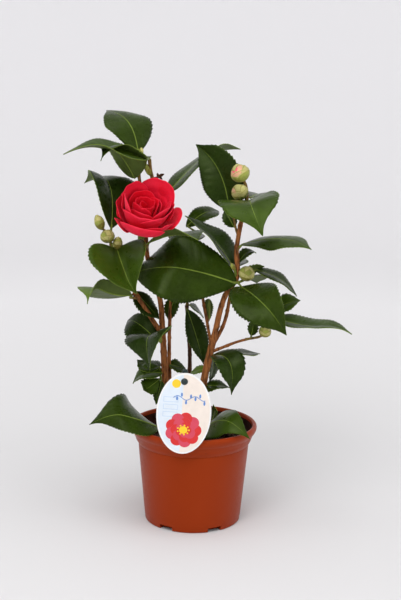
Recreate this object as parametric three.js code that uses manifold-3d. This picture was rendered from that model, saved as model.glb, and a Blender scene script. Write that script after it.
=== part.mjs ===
import * as THREE from "three";
import { mergeVertices } from "three/addons/utils/BufferGeometryUtils.js";
import Module from "manifold-3d";

const wasm = await Module();
wasm.setup();

// A young camellia with woody stems in a round plastic nursery pot, with one open bloom, round buds and an
// oval plant label. Millimetres, +Z up, +Y away from the viewer, origin at the centre of the pot's flat
// underside.

// Pot.
const RIM_RADIUS = 70;
const RIM_HEIGHT = 109.5;
const FOOT_RADIUS = 53.2;
const COLLAR_RADIUS = 66.3;
const COLLAR_FOOT = 88;
const WALL_TOP_RADIUS = 61.4;
const WALL = 1.8;
const FLOOR = 2.6;
const FOOT_EDGE = 1.1;
const SHOULDER = 3; // step out from the wall to the collar
const SHOULDER_RISE = 5;
const INNER_SHOULDER = 2.6;
const RIM_FOOT = 99;
const RIM_EDGE = 1.2;
const POT_SIDES = 56;
const NOTCHES = 6;
const NOTCH_WIDTH = 16;
const NOTCH_HEIGHT = 5;
const NOTCH_DEPTH = 8;
const NOTCH_TURN = -2.5; // turn of the pair of notches at the front, in degrees

// Soil and the gap that every seated piece keeps.
const SOIL_TOP = 95;
const GAP = 0.3;
const SOIL_GAP = 0.6;

// Label: an oval card on a slim stake.
const TAG = { x: -10.3, y: -72.8, z: 140.4, width: 57.4, height: 87.4, thick: 1.2, lean: -2.8 };
const TAG_HOLE_RADIUS = 3.7;
const TAG_HOLE = { x: -1.4, z: 34.6 }; // from the centre of the card
const STAKE_WIDTH = 6;
const STAKE_THICK = 2;
const STAKE_TOP = 189;
const STAKE_DEPTH = 45;

// Blades of the leaves.
const BLADE_THICK = 1.2;
const PETIOLE_RADIUS = 1.15;

const rad = THREE.MathUtils.degToRad;
const V = (p) => new THREE.Vector3(p[0], p[1], p[2]);

// Closed meshes to solids and back.
function toSolid(geometry) {
  const g = new THREE.BufferGeometry();
  g.setAttribute("position", geometry.getAttribute("position").clone());
  if (geometry.index) g.setIndex(geometry.index.clone());
  const merged = mergeVertices(g, 1e-4);
  const vertProperties = new Float32Array(merged.attributes.position.array);
  const triVerts = new Uint32Array(merged.index.array);
  return new wasm.Manifold(new wasm.Mesh({ numProp: 3, vertProperties, triVerts }));
}

function toGeometry(solid) {
  const m = solid.getMesh();
  const positions = new Float32Array(m.numVert * 3);
  for (let i = 0; i < m.numVert; i++) {
    positions.set(m.vertProperties.subarray(i * m.numProp, i * m.numProp + 3), i * 3);
  }
  const g = new THREE.BufferGeometry();
  g.setAttribute("position", new THREE.BufferAttribute(positions, 3));
  g.setIndex(new THREE.BufferAttribute(new Uint32Array(m.triVerts), 1));
  g.computeVertexNormals();
  return g;
}

const join = (solids) => solids.reduce((a, b) => a.add(b));

// The main body of a solid, with pockets that are shut in left out.
const whole = (solid) => solid.decompose().sort((a, b) => b.volume() - a.volume())[0];

// Moves every vertex of a closed geometry by a rule.
function reshape(geometry, rule) {
  const p = geometry.getAttribute("position");
  for (let i = 0; i < p.count; i++) {
    const q = rule(p.getX(i), p.getY(i), p.getZ(i));
    p.setXYZ(i, q.x, q.y, q.z);
  }
  return geometry;
}

// A tapering limb: a cylinder bent along a curve, with a flare at its foot. swell makes it thicker and
// longer.
function limb(points, r0, r1, { sides = 8, step = 12, flare = 0, swell = 0 } = {}) {
  const curve = new THREE.CatmullRomCurve3(points.map(V), false, "centripetal");
  const length = curve.getLength();
  const steps = Math.max(points.length - 1, Math.round(length / step));
  const frames = curve.computeFrenetFrames(steps, false);
  const g = new THREE.CylinderGeometry(1, 1, 1, sides, steps);
  return reshape(g, (x, y, z) => {
    const t = THREE.MathUtils.clamp(y + 0.5, 0, 1);
    const k = Math.round(t * steps);
    const centre = curve.getPointAt(t);
    if (k === 0 || k === steps) centre.addScaledVector(curve.getTangentAt(t), k === 0 ? -swell : swell);
    const r = r0 + (r1 - r0) * t + flare * Math.exp((-t * length) / 9) + swell;
    return centre
      .addScaledVector(frames.normals[k], x * r)
      .addScaledVector(frames.binormals[k], -z * r);
  });
}

// The shape of a blade.
// arch lifts the middle of the blade and curl drops its tip, both as shares of the length. bow bends it
// sideways. left and right fold its halves up, in degrees, and cup rolls their margins down. wide says where
// it is widest, skew how much broader its right half is, full how blunt its ends are and tip how drawn out
// its point is.
const SHAPE = {
  arch: 0.08, curl: 0, bow: 0, left: 12, right: 12, cup: 0.1,
  twist: 0, wide: 0.42, skew: 0, full: 0.75, tip: 0.45,
};

// Half-width along the blade, as a share of the widest.
function outline(t, { wide, full, tip }) {
  const w = Math.max(0, Math.sin(Math.PI * t ** (Math.log(0.5) / Math.log(wide)))) ** full;
  const s = THREE.MathUtils.clamp((t - 0.78) / 0.22, 0, 1);
  return w * (1 - tip * s * s * (3 - 2 * s));
}

// Side, length and upper-face directions of a blade from its compass bearing, rise and roll.
function bladeFrame(bearing, rise, roll) {
  const a = rad(bearing);
  const e = rad(rise);
  const r = rad(roll);
  const along = new THREE.Vector3(Math.cos(e) * Math.cos(a), Math.cos(e) * Math.sin(a), Math.sin(e));
  const side0 = new THREE.Vector3(Math.sin(a), -Math.cos(a), 0);
  const up0 = side0.clone().cross(along);
  const up = up0.clone().multiplyScalar(Math.cos(r)).addScaledVector(side0, Math.sin(r));
  const side = side0.clone().multiplyScalar(Math.cos(r)).addScaledVector(up0, -Math.sin(r));
  return { side, along, up };
}

function bladeRule([x, y, z, length, bearing, rise, roll, width, shape = {}]) {
  const o = { ...SHAPE, ...shape };
  const { side, along, up } = bladeFrame(bearing, rise, roll);
  const middle = (t) => {
    const c = Math.max(0, (t - 0.6) / 0.4);
    const hump = 4 * t * (1 - t);
    return new THREE.Vector3(x, y, z)
      .addScaledVector(along, length * t)
      .addScaledVector(up, length * (o.arch * hump - o.curl * c * c))
      .addScaledVector(side, length * o.bow * hump);
  };
  return (t, u, w) => {
    const h = 1e-3;
    const tangent = middle(Math.min(t + h, 1)).sub(middle(Math.max(t - h, 0))).normalize();
    const s = side.clone().addScaledVector(tangent, -side.dot(tangent)).normalize();
    const n = s.clone().cross(tangent);
    const turn = rad(o.twist * (t - 0.3));
    const across = s.clone().multiplyScalar(Math.cos(turn)).addScaledVector(n, -Math.sin(turn));
    const face = n.clone().multiplyScalar(Math.cos(turn)).addScaledVector(s, Math.sin(turn));
    const half = Math.max(0.7, (width / 2) * outline(t, o) * (1 + o.skew * Math.sign(u)));
    const fold = rad(u > 0 ? o.right : o.left);
    const lift = half * (Math.abs(u) * Math.sin(fold) - o.cup * u * u);
    return middle(t)
      .addScaledVector(across, half * u * Math.cos(fold))
      .addScaledVector(face, lift + w);
  };
}

// Small blades get fewer cells.
function blade(row) {
  const rule = bladeRule(row);
  const rows = row[3] > 50 ? 5 : 4;
  const cells = row[7] > 36 ? 4 : 2;
  const g = new THREE.BoxGeometry(2, 1, 1, cells, rows, 1);
  return toSolid(reshape(g, (u, v, w) => rule(v + 0.5, u, w * BLADE_THICK)));
}

// A bud: an egg with a blunt foot and a drawn-out tip.
function bud([x, y, z, radius, length, bearing, rise]) {
  const { along } = bladeFrame(bearing, rise, 0);
  const profile = [];
  const n = 6;
  for (let i = 0; i <= n; i++) {
    const t = i / n;
    const r = i === 0 || i === n ? 0 : radius * Math.sin(Math.PI * t ** 0.85) ** 0.72;
    profile.push(new THREE.Vector2(r, (t - 0.5) * length));
  }
  const g = new THREE.LatheGeometry(profile, 8);
  g.applyQuaternion(new THREE.Quaternion().setFromUnitVectors(new THREE.Vector3(0, 1, 0), along));
  g.translate(x, y, z);
  return toSolid(g);
}

// Nearest point to p on a set of twigs.
function nearest(p, curves) {
  let best = null;
  for (const c of curves) {
    for (let i = 0; i <= 60; i++) {
      const q = c.getPointAt(i / 60);
      if (!best || q.distanceTo(p) < best.distanceTo(p)) best = q;
    }
  }
  return best;
}

// Limbs: radius at the foot, radius at the tip, points along it, options.
const LIMBS = {
  stem_left: [4.0, 3.3, [[-29, -1, 92], [-33, -1, 168], [-35.5, 0, 211]], { flare: 2.2 }],
  stem_left_thin: [2.2, 1.8, [[-22, 9, 92], [-28, 9, 165], [-27.5, 12, 240], [-25, 18, 262]], { flare: 1 }],
  stem_middle: [2.6, 2.0, [[-7, 26, 92], [-6, 26, 185], [-10, 26, 236]], { flare: 1.2 }],
  stem_right: [4.3, 3.8, [[-2, -5, 92], [9, -5, 152], [20, -5, 206]], { flare: 2.4 }],
  leader_left: [3.1, 2.1, [[-35.5, 0, 209], [-39, 3, 247], [-53, 5, 292], [-56, 1, 335], [-62, -4, 374]], {}],
  bough_left: [2.6, 2.0, [[-35.5, 0, 207], [-63, -8, 252], [-88, -15, 294]], {}],
  leader_right: [
    3.2, 2.3,
    [[19.5, -5, 203], [31, -7, 252], [44, -10, 276], [43, -8, 303], [47, -8, 333], [53, -9, 356]], {},
  ],
  bough_right_outer: [2.1, 1.6, [[19, -5, 198], [31, 3, 220], [38, 6, 255], [41, 6, 275]], {}],
  bough_right_inner: [1.7, 1.4, [[18, -4, 198], [10, 9, 235], [4, 26, 268], [1, 31, 300]], {}],
  side_branch: [1.7, 1.4, [[16, -5, 190], [45, -4, 202], [57, -5, 206]], {}],
};

// Masses of foliage: the limb each one grows from, its twigs, its leaves and its buds
// A twig is [radius at foot, radius at tip, points].
// A leaf is [foot x, y, z, length, bearing, rise, roll, width, shape].
// A bud is [centre x, y, z, radius, length, bearing, rise].
const MASSES = {
  foliage_top_left: {
    on: "leader_left",
    twigs: [
      [1.9, 1.3, [[-61, -3, 370], [-62.5, -5, 388], [-60, -5, 405]]],
      [2.2, 1.9, [[-57.5, -1, 350], [-48.5, -4, 377], [-50, -8, 388], [-51, -14, 400]]],
    ],
    leaves: [
      [
        -63.5, -4, 406, 66, 136, 38, -10, 56,
        {
          arch: 0.23, curl: -0.04, bow: 0.04, left: 1, right: 2,
          twist: 3, wide: 0.47, skew: 0.02, full: 0.78,
        },
      ],
      [
        -51.5, -14, 401, 89, -158, 16, -15, 46,
        {
          arch: -0.02, curl: 0.24, bow: -0.09, left: 16, right: 23,
          twist: 28, wide: 0.45, skew: 0.03, full: 0.85, tip: 0.42,
        },
      ],
      [
        -66.5, -6, 379, 67, -120, 29, 4, 53,
        {
          arch: 0.27, curl: 0.18, bow: 0.14, left: 0, right: 24,
          twist: 16, wide: 0.28, skew: -0.23, full: 1.1, tip: 0.71,
        },
      ],
      [-62, 0, 395, 58, 112, -2, 0, 40],
    ],
    buds: [
      [-60, -5, 408, 2.2, 8, 90, 75],
    ],
  },
  foliage_left_tip: {
    on: "bough_left",
    twigs: [
      [1.9, 1.3, [[-87, -14.6, 292], [-91, -15, 304], [-91.5, -12, 323]]],
      [1.2, 1.2, [[-91, -13, 318], [-100, -16, 326]]],
    ],
    leaves: [
      [
        -91.5, -12, 325.5, 86, 114, 39, 15, 55,
        {
          arch: 0.27, curl: 0.19, bow: -0.01, left: 18, right: 21,
          twist: 7, wide: 0.47, skew: 0.09, full: 0.87, tip: 0.44,
        },
      ],
      [
        -84.5, -16, 304, 69, -65, -39, 1, 85,
        {
          arch: 0.04, curl: -0.1, bow: 0.03, left: 61, right: 29,
          twist: 21, wide: 0.35, skew: 0.07, full: 0.96, tip: 0.61,
        },
      ],
      [-89, -10, 300, 62, 97, -6, 0, 42],
    ],
    buds: [
      [-103.5, -16, 333, 5.3, 17, 180, 70],
      [-94.5, -21, 319, 7.6, 15, -100, 60],
      [-84, -16, 311, 5.3, 14, 60, 75],
    ],
  },
  foliage_left_low: {
    on: "bough_left",
    twigs: [
      [1.5, 1.2, [[-62, -8, 250], [-70, -11, 251]]],
      [1.2, 1.1, [[-69, -11, 251], [-71, -5, 250], [-68, 1, 253]]],
    ],
    leaves: [
      [
        -69, -14, 254.5, 73, -136, 24, 38, 51,
        {
          arch: -0.09, curl: 0.5, bow: 0.05, left: 47, right: 28,
          twist: -21, wide: 0.37, skew: 0.44, full: 0.98, tip: 0.74,
        },
      ],
      [
        -66, 2, 255, 40, -11, -46, 33, 26,
        { arch: 0.01, curl: 0.02, left: -2, right: 3, twist: -5, wide: 0.4, skew: 0.08, full: 0.79 },
      ],
    ],
  },
  foliage_under_bloom: {
    on: "leader_left",
    twigs: [
      [1.4, 1.1, [[-54, 3.5, 301], [-52, 0, 310]]],
    ],
    leaves: [
      [
        -53.5, 0, 308.5, 79, -45, 9, -15, 34,
        {
          arch: 0.11, bow: -0.06, left: 24, right: 29, twist: 22,
          wide: 0.64, skew: -0.15, full: 0.64, tip: 0.56,
        },
      ],
    ],
  },
  foliage_behind_bloom: {
    on: "leader_left",
    twigs: [
      [1.5, 1.1, [[-57, 0, 345], [-46, 12, 353], [-32, 19, 363]]],
    ],
    leaves: [
      [
        -29.6, 24.5, 363.6, 102, 35, 32, -3, 38,
        {
          curl: 0.13, bow: 0.03, left: 5, right: 13, twist: -39,
          wide: 0.33, skew: -0.02, full: 0.71, tip: 0.46,
        },
      ],
      [-47, 14, 354, 60, 110, -6, 0, 44],
    ],
  },
  foliage_back_left: {
    on: "leader_left",
    twigs: [
      [1.5, 1.1, [[-49, 4.5, 280], [-48, 13, 282]]],
    ],
    leaves: [
      [-47, 14, 282, 66, 58, -5, 0, 44],
      [-50, 14, 281, 60, 125, -12, 0, 42],
    ],
  },
  foliage_centre: {
    on: "leader_right",
    twigs: [
      [2, 1.5, [[43.5, -9, 271], [45, -15, 270]]],
    ],
    leaves: [
      [
        43.5, -16, 269, 105, -171, 12, -65, 79,
        {
          arch: -0.01, curl: 0.28, bow: 0.05, left: -8, right: -5,
          twist: 25, wide: 0.62, skew: 0.07, full: 0.47, tip: 0.18,
        },
      ],
      [
        48, -17, 266, 83, -52, -25, 21, 53,
        {
          arch: 0.13, curl: 0.07, bow: 0.03, left: 22, right: 11,
          twist: 72, skew: 0.1, full: 0.85, tip: 0.33,
        },
      ],
    ],
    buds: [
      [54.3, -16, 280.5, 8.6, 17, -60, 60],
      [39.2, -13, 287.1, 2.3, 9, 170, 62],
    ],
  },
  foliage_centre_back: {
    on: "leader_right",
    twigs: [
      [1.5, 1.2, [[43.5, -9, 284], [39, 1, 284]]],
    ],
    leaves: [
      [
        39, 2, 285, 76, 157, 39, -20, 45,
        { curl: -0.07, bow: 0.04, left: 37, right: 6, twist: 13, wide: 0.38, skew: 0.03, full: 0.76 },
      ],
      [40, 3, 283, 68, 97, -8, 0, 42],
    ],
  },
  foliage_right_back: {
    on: "leader_right",
    twigs: [
      [1.4, 1.1, [[44, -10, 277], [49, -3, 277], [56, 0, 279]]],
    ],
    leaves: [
      [
        64.5, 0, 281.5, 53, -3, -31, 13, 26,
        {
          arch: 0.12, curl: 0.01, bow: 0.01, right: 6, twist: -2,
          wide: 0.39, skew: 0.01, full: 0.7, tip: 0.4,
        },
      ],
      [51, 0, 274, 26, 12, 25, -50, 18],
      [52, 3, 273, 56, 72, -16, 0, 40],
    ],
  },
  foliage_right_upper: {
    on: "leader_right",
    twigs: [
      [1.4, 1.1, [[43, -8, 302], [46, -11, 308]]],
    ],
    leaves: [
      [
        47, -12, 310.5, 80, -25, 2, 4, 44,
        { curl: 0.02, bow: -0.13, left: 5, right: -14, twist: 4, wide: 0.44, full: 0.85, tip: 0.53 },
      ],
    ],
  },
  foliage_right_small: {
    on: "leader_right",
    twigs: [
      [1.2, 1, [[43, -9, 289], [46, -4, 290]]],
    ],
    leaves: [
      [
        46, -3, 290.5, 25, 36, 21, 19, 14,
        { arch: 0.26, curl: 0.04, bow: -0.01, left: 15, right: 13, twist: 1, skew: -0.01 },
      ],
    ],
  },
  foliage_upper_right: {
    on: "leader_right",
    twigs: [
      [1.3, 1.1, [[45, -8, 318], [41, -3, 330], [37, 1, 350]]],
    ],
    leaves: [
      [
        34.2, 13, 346.2, 78, 148, 59, -77, 49,
        {
          curl: -0.1, bow: 0.13, left: 22, right: 19, twist: 1,
          wide: 0.4, skew: 0.04, full: 0.68, tip: 0.55,
        },
      ],
      [40, -1, 328, 22, 140, 50, -45, 16],
    ],
  },
  foliage_top_right: {
    on: "leader_right",
    twigs: [
      [2.1, 1.5, [[52.5, -9, 353], [52, -8, 370], [48, -8, 382]]],
    ],
    leaves: [
      [
        54.5, -6, 357.5, 75, -90, -1, 25, 65,
        {
          arch: 0.03, curl: 0.39, bow: -0.02, left: 4, right: 29,
          twist: -6, wide: 0.59, skew: 0.06, full: 0.59, tip: 0.75,
        },
      ],
      [57, -4, 360, 60, 72, -6, 0, 42],
    ],
    buds: [
      [44.7, -10, 387.2, 10.2, 20, 180, 65],
      [44.6, -14, 367.5, 9, 18, -135, 55],
    ],
  },
  foliage_right_low: {
    on: "side_branch",
    twigs: [
      [1.35, 1.2, [[55, -5, 205.5], [72, -6, 210], [78, -5, 216], [80, -2, 224]]],
      [1.1, 1, [[80, -2, 223], [82, 8, 232]]],
    ],
    leaves: [
      [
        91, -4, 228.5, 81, -23, 4, 6, 35,
        {
          arch: -0.1, curl: 0.18, bow: -0.07, left: 18, right: 9,
          twist: -17, wide: 0.32, skew: -0.04, full: 0.7, tip: 0.49,
        },
      ],
      [
        89, 9, 236, 28, -6, 25, 38, 26,
        {
          arch: 0.12, curl: 0.02, bow: -0.01, left: 14, right: 13,
          twist: -3, wide: 0.41, skew: -0.01, full: 0.76,
        },
      ],
      [61, -2, 209, 19, 75, 60, 26, 13, { curl: 0.01, bow: 0.03, left: 16, wide: 0.45, full: 0.78 }],
    ],
    buds: [
      [76, -9, 216, 6.8, 13, -60, 50],
    ],
  },
  foliage_low_right: {
    on: "stem_right",
    twigs: [
      [1.7, 1.3, [[16.5, -5, 184], [20, -11, 187]]],
    ],
    leaves: [
      [
        18, -12, 188, 52, -57, -37, 6, 34,
        {
          arch: 0.39, curl: 0.07, bow: -0.06, left: 30, right: 6,
          twist: -6, wide: 0.49, full: 0.74, tip: 0.62,
        },
      ],
    ],
  },
  foliage_low_right_back: {
    on: "stem_right",
    twigs: [
      [1.5, 1.1, [[16, -5, 183], [20, 2, 184]]],
    ],
    leaves: [
      [
        34.5, 3.5, 188, 49, 37, -8, 9, 24,
        { arch: 0.01, curl: 0.01, bow: 0.01, left: 8, right: 11, skew: 0.01 },
      ],
      [
        20, 4, 181.5, 26, 30, -98, 56, 19,
        {
          curl: 0.02, bow: 0.01, left: 17, right: 7, twist: 3,
          wide: 0.44, skew: -0.01, full: 0.78, tip: 0.44,
        },
      ],
    ],
  },
  foliage_foot_right: {
    on: "stem_right",
    twigs: [
      [1.4, 1.1, [[9.5, -5, 154], [14, -3, 153]]],
    ],
    leaves: [
      [
        12.5, -3, 151.5, 27, -13, 2, 21, 23,
        { curl: 0.03, bow: 0.01, left: 6, right: 8, twist: -26, wide: 0.34, skew: 0.05, full: 0.77 },
      ],
    ],
  },
  foliage_foot_inner: {
    on: "stem_right",
    twigs: [
      [1.2, 1, [[12, -5, 168], [7, -3, 168]]],
    ],
    leaves: [
      [
        10.5, -2.5, 171, 18, 153, -21, -34, 15,
        {
          arch: 0.04, curl: -0.01, bow: -0.01, left: 13, right: 6,
          twist: 10, wide: 0.39, skew: 0.04, full: 0.76,
        },
      ],
    ],
  },
  foliage_low_left: {
    on: "stem_left",
    twigs: [
      [1.8, 1.3, [[-35, 0, 203], [-40, -2, 204]]],
    ],
    leaves: [
      [
        -39, -6.5, 207.5, 48, -103, -22, 4, 56,
        {
          arch: 0.31, curl: 0.23, bow: 0.09, left: 25, right: 1,
          twist: 30, wide: 0.4, skew: 0.01, full: 0.86, tip: 0.39,
        },
      ],
      [
        -43.5, 1.5, 203, 44, 145, 24, -41, 37,
        { arch: 0.17, curl: 0.12, left: 7, right: 18, twist: -5, skew: -0.17, full: 0.73, tip: 0.43 },
      ],
    ],
    buds: [
      [-38, -5, 203.8, 2.2, 8, -100, 60],
    ],
  },
  foliage_foot_left: {
    on: "stem_left",
    twigs: [
      [1.8, 1.3, [[-33, -1, 166], [-38.5, -2, 166]]],
    ],
    leaves: [
      [
        -38, 1, 171.5, 30, 151, 6, -26, 26,
        {
          arch: -0.03, curl: -0.04, bow: -0.04, left: 11, right: -5,
          twist: 5, wide: 0.41, skew: -0.03, full: 0.73, tip: 0.44,
        },
      ],
      [
        -35, -4, 165.5, 35, -180, -16, -28, 30,
        {
          arch: 0.14, curl: 0.1, bow: 0.05, left: 18, right: 11,
          twist: 10, wide: 0.4, skew: 0.05, full: 0.78, tip: 0.46,
        },
      ],
      [
        -37, -6, 160.5, 27, -137, -22, -43, 21,
        {
          arch: -0.15, curl: -0.07, bow: 0.02, left: 3, right: 6,
          twist: -5, wide: 0.59, skew: 0.06, full: 0.78,
        },
      ],
      [
        -36.5, -6, 157.5, 27, -151, -77, -32, 16,
        { arch: -0.01, right: 7, twist: 2, wide: 0.38, skew: -0.01, full: 0.72, tip: 0.44 },
      ],
    ],
  },
  foliage_foot_thin: {
    on: "stem_left_thin",
    twigs: [
      [1.2, 1, [[-28, 9, 168], [-24, 7, 169]]],
    ],
    leaves: [
      [
        -28, 7.5, 173, 23, 35, -19, 45, 19,
        { arch: 0.04, curl: 0.01, bow: 0.03, left: 8, right: 13, wide: 0.43, skew: 0.03 },
      ],
    ],
  },
  foliage_inner: {
    on: "stem_middle",
    twigs: [
      [1.9, 1.3, [[-9.8, 26, 233], [-9, 26, 246]]],
    ],
    leaves: [
      [
        -9.5, 22.5, 232.5, 64, -20, -71, 43, 27,
        {
          arch: -0.03, curl: 0.02, bow: -0.03, right: 16, twist: -3,
          wide: 0.47, skew: -0.06, full: 0.83, tip: 0.44,
        },
      ],
      [
        -7, 29.5, 236, 27, 40, -39, 28, 21,
        { curl: 0.02, bow: 0.04, left: 10, right: 4, twist: -2, wide: 0.43, skew: 0.01, full: 0.76 },
      ],
    ],
  },
  foliage_inner_left: {
    on: "stem_left_thin",
    twigs: [
      [1.4, 1.1, [[-25.3, 17.5, 259], [-23, 16, 268]]],
    ],
    leaves: [
      [
        -22, 13.5, 248.5, 29, 178, -74, -71, 17,
        {
          arch: 0.12, curl: 0.05, left: 11, right: 10, twist: 2,
          wide: 0.39, skew: -0.01, full: 0.78, tip: 0.44,
        },
      ],
    ],
  },
  foliage_inner_right: {
    on: "bough_right_inner",
    twigs: [
      [1.1, 1, [[12.5, 4.5, 222], [15, 9, 225]]],
    ],
    leaves: [
      [
        15, 10.5, 246.5, 35, 90, -59, 31, 12,
        { arch: 0.02, curl: 0.03, bow: -0.06, left: 13, right: 18, twist: -1, wide: 0.4 },
      ],
    ],
  },
  foliage_inner_top: {
    on: "bough_right_inner",
    twigs: [
      [1.3, 1, [[1.2, 30.8, 298], [0, 29, 317]]],
    ],
    leaves: [
      [
        -12, 37, 322.4, 48, 39, 15, 24, 25,
        {
          arch: 0.25, curl: -0.06, bow: 0.06, left: 10, right: 8,
          twist: 2, wide: 0.45, skew: 0.04, full: 0.76,
        },
      ],
      [0, 32, 308, 56, 118, -8, 0, 40],
    ],
  },
  foliage_base_left: {
    on: "stem_left",
    twigs: [
      [1.8, 1.4, [[-29.3, -1, 103], [-31, -16, 105], [-33, -28, 107]]],
    ],
    leaves: [
      [
        -37.5, -30, 112, 72, -166, 19, -24, 67,
        {
          curl: 0.31, bow: -0.06, left: 1, right: -13, twist: -49,
          wide: 0.41, skew: 0.32, full: 0.92, tip: 0.5,
        },
      ],
    ],
  },
  foliage_base_right: {
    on: "stem_right",
    twigs: [
      [1.8, 1.3, [[0, -5, 105], [9, -13, 104]]],
    ],
    leaves: [
      [
        13, -16, 108, 62, -47, 12, 24, 44,
        {
          arch: 0.15, curl: 0.21, bow: -0.03, left: 6, right: -21,
          twist: 2, wide: 0.34, skew: 0.01, full: 0.86, tip: 0.36,
        },
      ],
      [
        20.5, -9.5, 115.5, 17, 3, 83, 25, 14,
        { arch: -0.06, curl: -0.1, left: 3, right: 9, twist: 4, wide: 0.45, skew: 0.01, full: 0.77 },
      ],
    ],
  },
};

// The bloom: cupped petals round a full centre, on a short stalk.
const BLOOM_SEAT = [-58.4, -22, 330.1]; // foot of the petals
const BLOOM_BEARING = -74;
const BLOOM_RISE = 55;
const BLOOM_STALK = [[-55.5, 2.5, 318], [-60.5, -6, 312], [-60.5, -14.5, 318]];
const CORE = { radius: 20, height: 35, rise: 19 };
const PETAL_THICK = 1.4;
const PETAL_CELL = 26; // degrees across a petal for each column of faces
// A petal of the upright bloom is [bearing, radius, height, closing angle, half-angle, lip, point].
// It rises from the seat, bulges to the radius and closes over by the angle. lip rolls its rim outward and
// point draws its rim to a tip.
const PETALS = [
  [54, 25.5, 42.6, 89, 49, 3.3],
  [140, 18.9, 41.3, 90, 51, 2.2],
  [203, 20.2, 42.4, 90, 34, 0.6],
  [179, 24.6, 27.6, 87, 39, 1.9],
  [217, 33.2, 20.5, 74, 24, 1, 0.3],
  [258, 22.4, 33.2, 92, 56, 1.2],
  [338, 20.6, 38.5, 92, 45, 1.5],
  [327, 23.5, 33.8, 91, 62, 2.2],
  [268, 33, 27.2, 94, 42, 0.6],
  [3, 34.9, 23.5, 83, 29, 2.3, 0.1],
];

const limbSolids = {};
for (const [name, [r0, r1, points, options]] of Object.entries(LIMBS)) {
  limbSolids[name] = {
    solid: toSolid(limb(points, r0, r1, options)),
    clear: toSolid(limb(points, r0, r1, { ...options, swell: GAP })),
  };
}

// Everything that stands on the soil is cut flat a gap above it.
const below = toSolid(new THREE.BoxGeometry(300, 300, 60).translate(0, 0, SOIL_TOP + GAP - 30));

const group = new THREE.Group();
function addMesh(name, geometry, colour, roughness = 0.6) {
  const material = new THREE.MeshStandardMaterial({ color: colour, roughness, metalness: 0 });
  const mesh = new THREE.Mesh(geometry, material);
  mesh.name = name;
  group.add(mesh);
}

// Each limb is cut clear of the ones before it, so a bough starts at its parent's bark.
const BARK = 0x7a4b2b;
const earlier = [];
for (const [name, { solid, clear }] of Object.entries(limbSolids)) {
  let cut = solid.subtract(below);
  for (const other of earlier) cut = cut.subtract(other);
  earlier.push(clear);
  addMesh(name, toGeometry(whole(cut)), BARK, 0.85);
}

function massSolid({ on, twigs, leaves, buds = [] }) {
  const solids = [];
  const curves = [];
  for (const [r0, r1, points] of twigs) {
    curves.push(new THREE.CatmullRomCurve3(points.map(V), false, "centripetal"));
    solids.push(toSolid(limb(points, r0, r1, { sides: 6 })));
  }
  for (const row of leaves) {
    const rule = bladeRule(row);
    const start = nearest(rule(0, 0, 0), curves);
    const end = rule(0.07, 0, 0);
    solids.push(toSolid(limb([start.toArray(), end.toArray()], PETIOLE_RADIUS, 0.9, { sides: 6, step: 40 })));
    solids.push(blade(row));
  }
  for (const row of buds) {
    const centre = new THREE.Vector3(row[0], row[1], row[2]);
    const start = nearest(centre, curves);
    solids.push(toSolid(limb([start.toArray(), centre.toArray()], 1.4, 1.4, { sides: 6, step: 40 })));
    solids.push(bud(row));
  }
  return whole(join(solids).subtract(limbSolids[on].clear));
}

for (const [name, mass] of Object.entries(MASSES)) addMesh(name, toGeometry(massSolid(mass)), 0x2f4f22, 0.4);

// The bloom, drawn upright at the origin and then turned to face out.
function petalRule([bearing, radius, height, closing, half, lip, point = 0]) {
  const close = rad(closing);
  const { smoothstep } = THREE.MathUtils;
  return (v, u, w) => {
    const s = v * (1 - 0.18 * Math.abs(u) ** 3 - point * Math.abs(u));
    const a = close * s ** 0.8;
    const theta = rad(bearing + u * half * (0.6 + 0.4 * smoothstep(v, 0, 0.5)));
    const rim = smoothstep(v, 0.72, 1) ** 2;
    const lift = height / (1 - Math.cos(close));
    const out = new THREE.Vector2(lift * Math.sin(a), -radius * Math.cos(a)).normalize();
    const rho = 3 + radius * Math.sin(a) * (1 + 0.06 * u) + lip * rim + w * out.x;
    const z = 2 + lift * (1 - Math.cos(a)) - 0.35 * lip * rim + w * out.y;
    return new THREE.Vector3(rho * Math.cos(theta), rho * Math.sin(theta), z);
  };
}

function bloomSolid() {
  const { along } = bladeFrame(BLOOM_BEARING, BLOOM_RISE, 0);
  const turn = new THREE.Quaternion().setFromUnitVectors(new THREE.Vector3(0, 0, 1), along);
  const place = (g) => toSolid(g.applyQuaternion(turn).translate(...BLOOM_SEAT));
  const core = new THREE.SphereGeometry(1, 12, 8);
  core.scale(CORE.radius, CORE.radius, CORE.height / 2).translate(0, 0, CORE.rise);
  const solids = [place(core)];
  for (const row of PETALS) {
    const rule = petalRule(row);
    const petal = new THREE.BoxGeometry(2, 1, 1, Math.max(3, Math.round((2 * row[4]) / PETAL_CELL)), 3, 1);
    solids.push(place(reshape(petal, (u, v, w) => rule(v + 0.5, u, w * PETAL_THICK))));
  }
  const inside = V(BLOOM_SEAT).addScaledVector(along, CORE.rise - CORE.height / 4);
  solids.push(toSolid(limb([...BLOOM_STALK, BLOOM_SEAT, inside.toArray()], 1.9, 2.6, { sides: 6 })));
  return whole(join(solids).subtract(limbSolids.leader_left.clear));
}
addMesh("bloom", toGeometry(bloomSolid()), 0xc4142f, 0.5);

// The pot, its soil and its label.
function turned(profile, segments) {
  const g = new THREE.LatheGeometry(profile.map(([r, z]) => new THREE.Vector2(r, z)), segments);
  return g.rotateX(Math.PI / 2);
}

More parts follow.
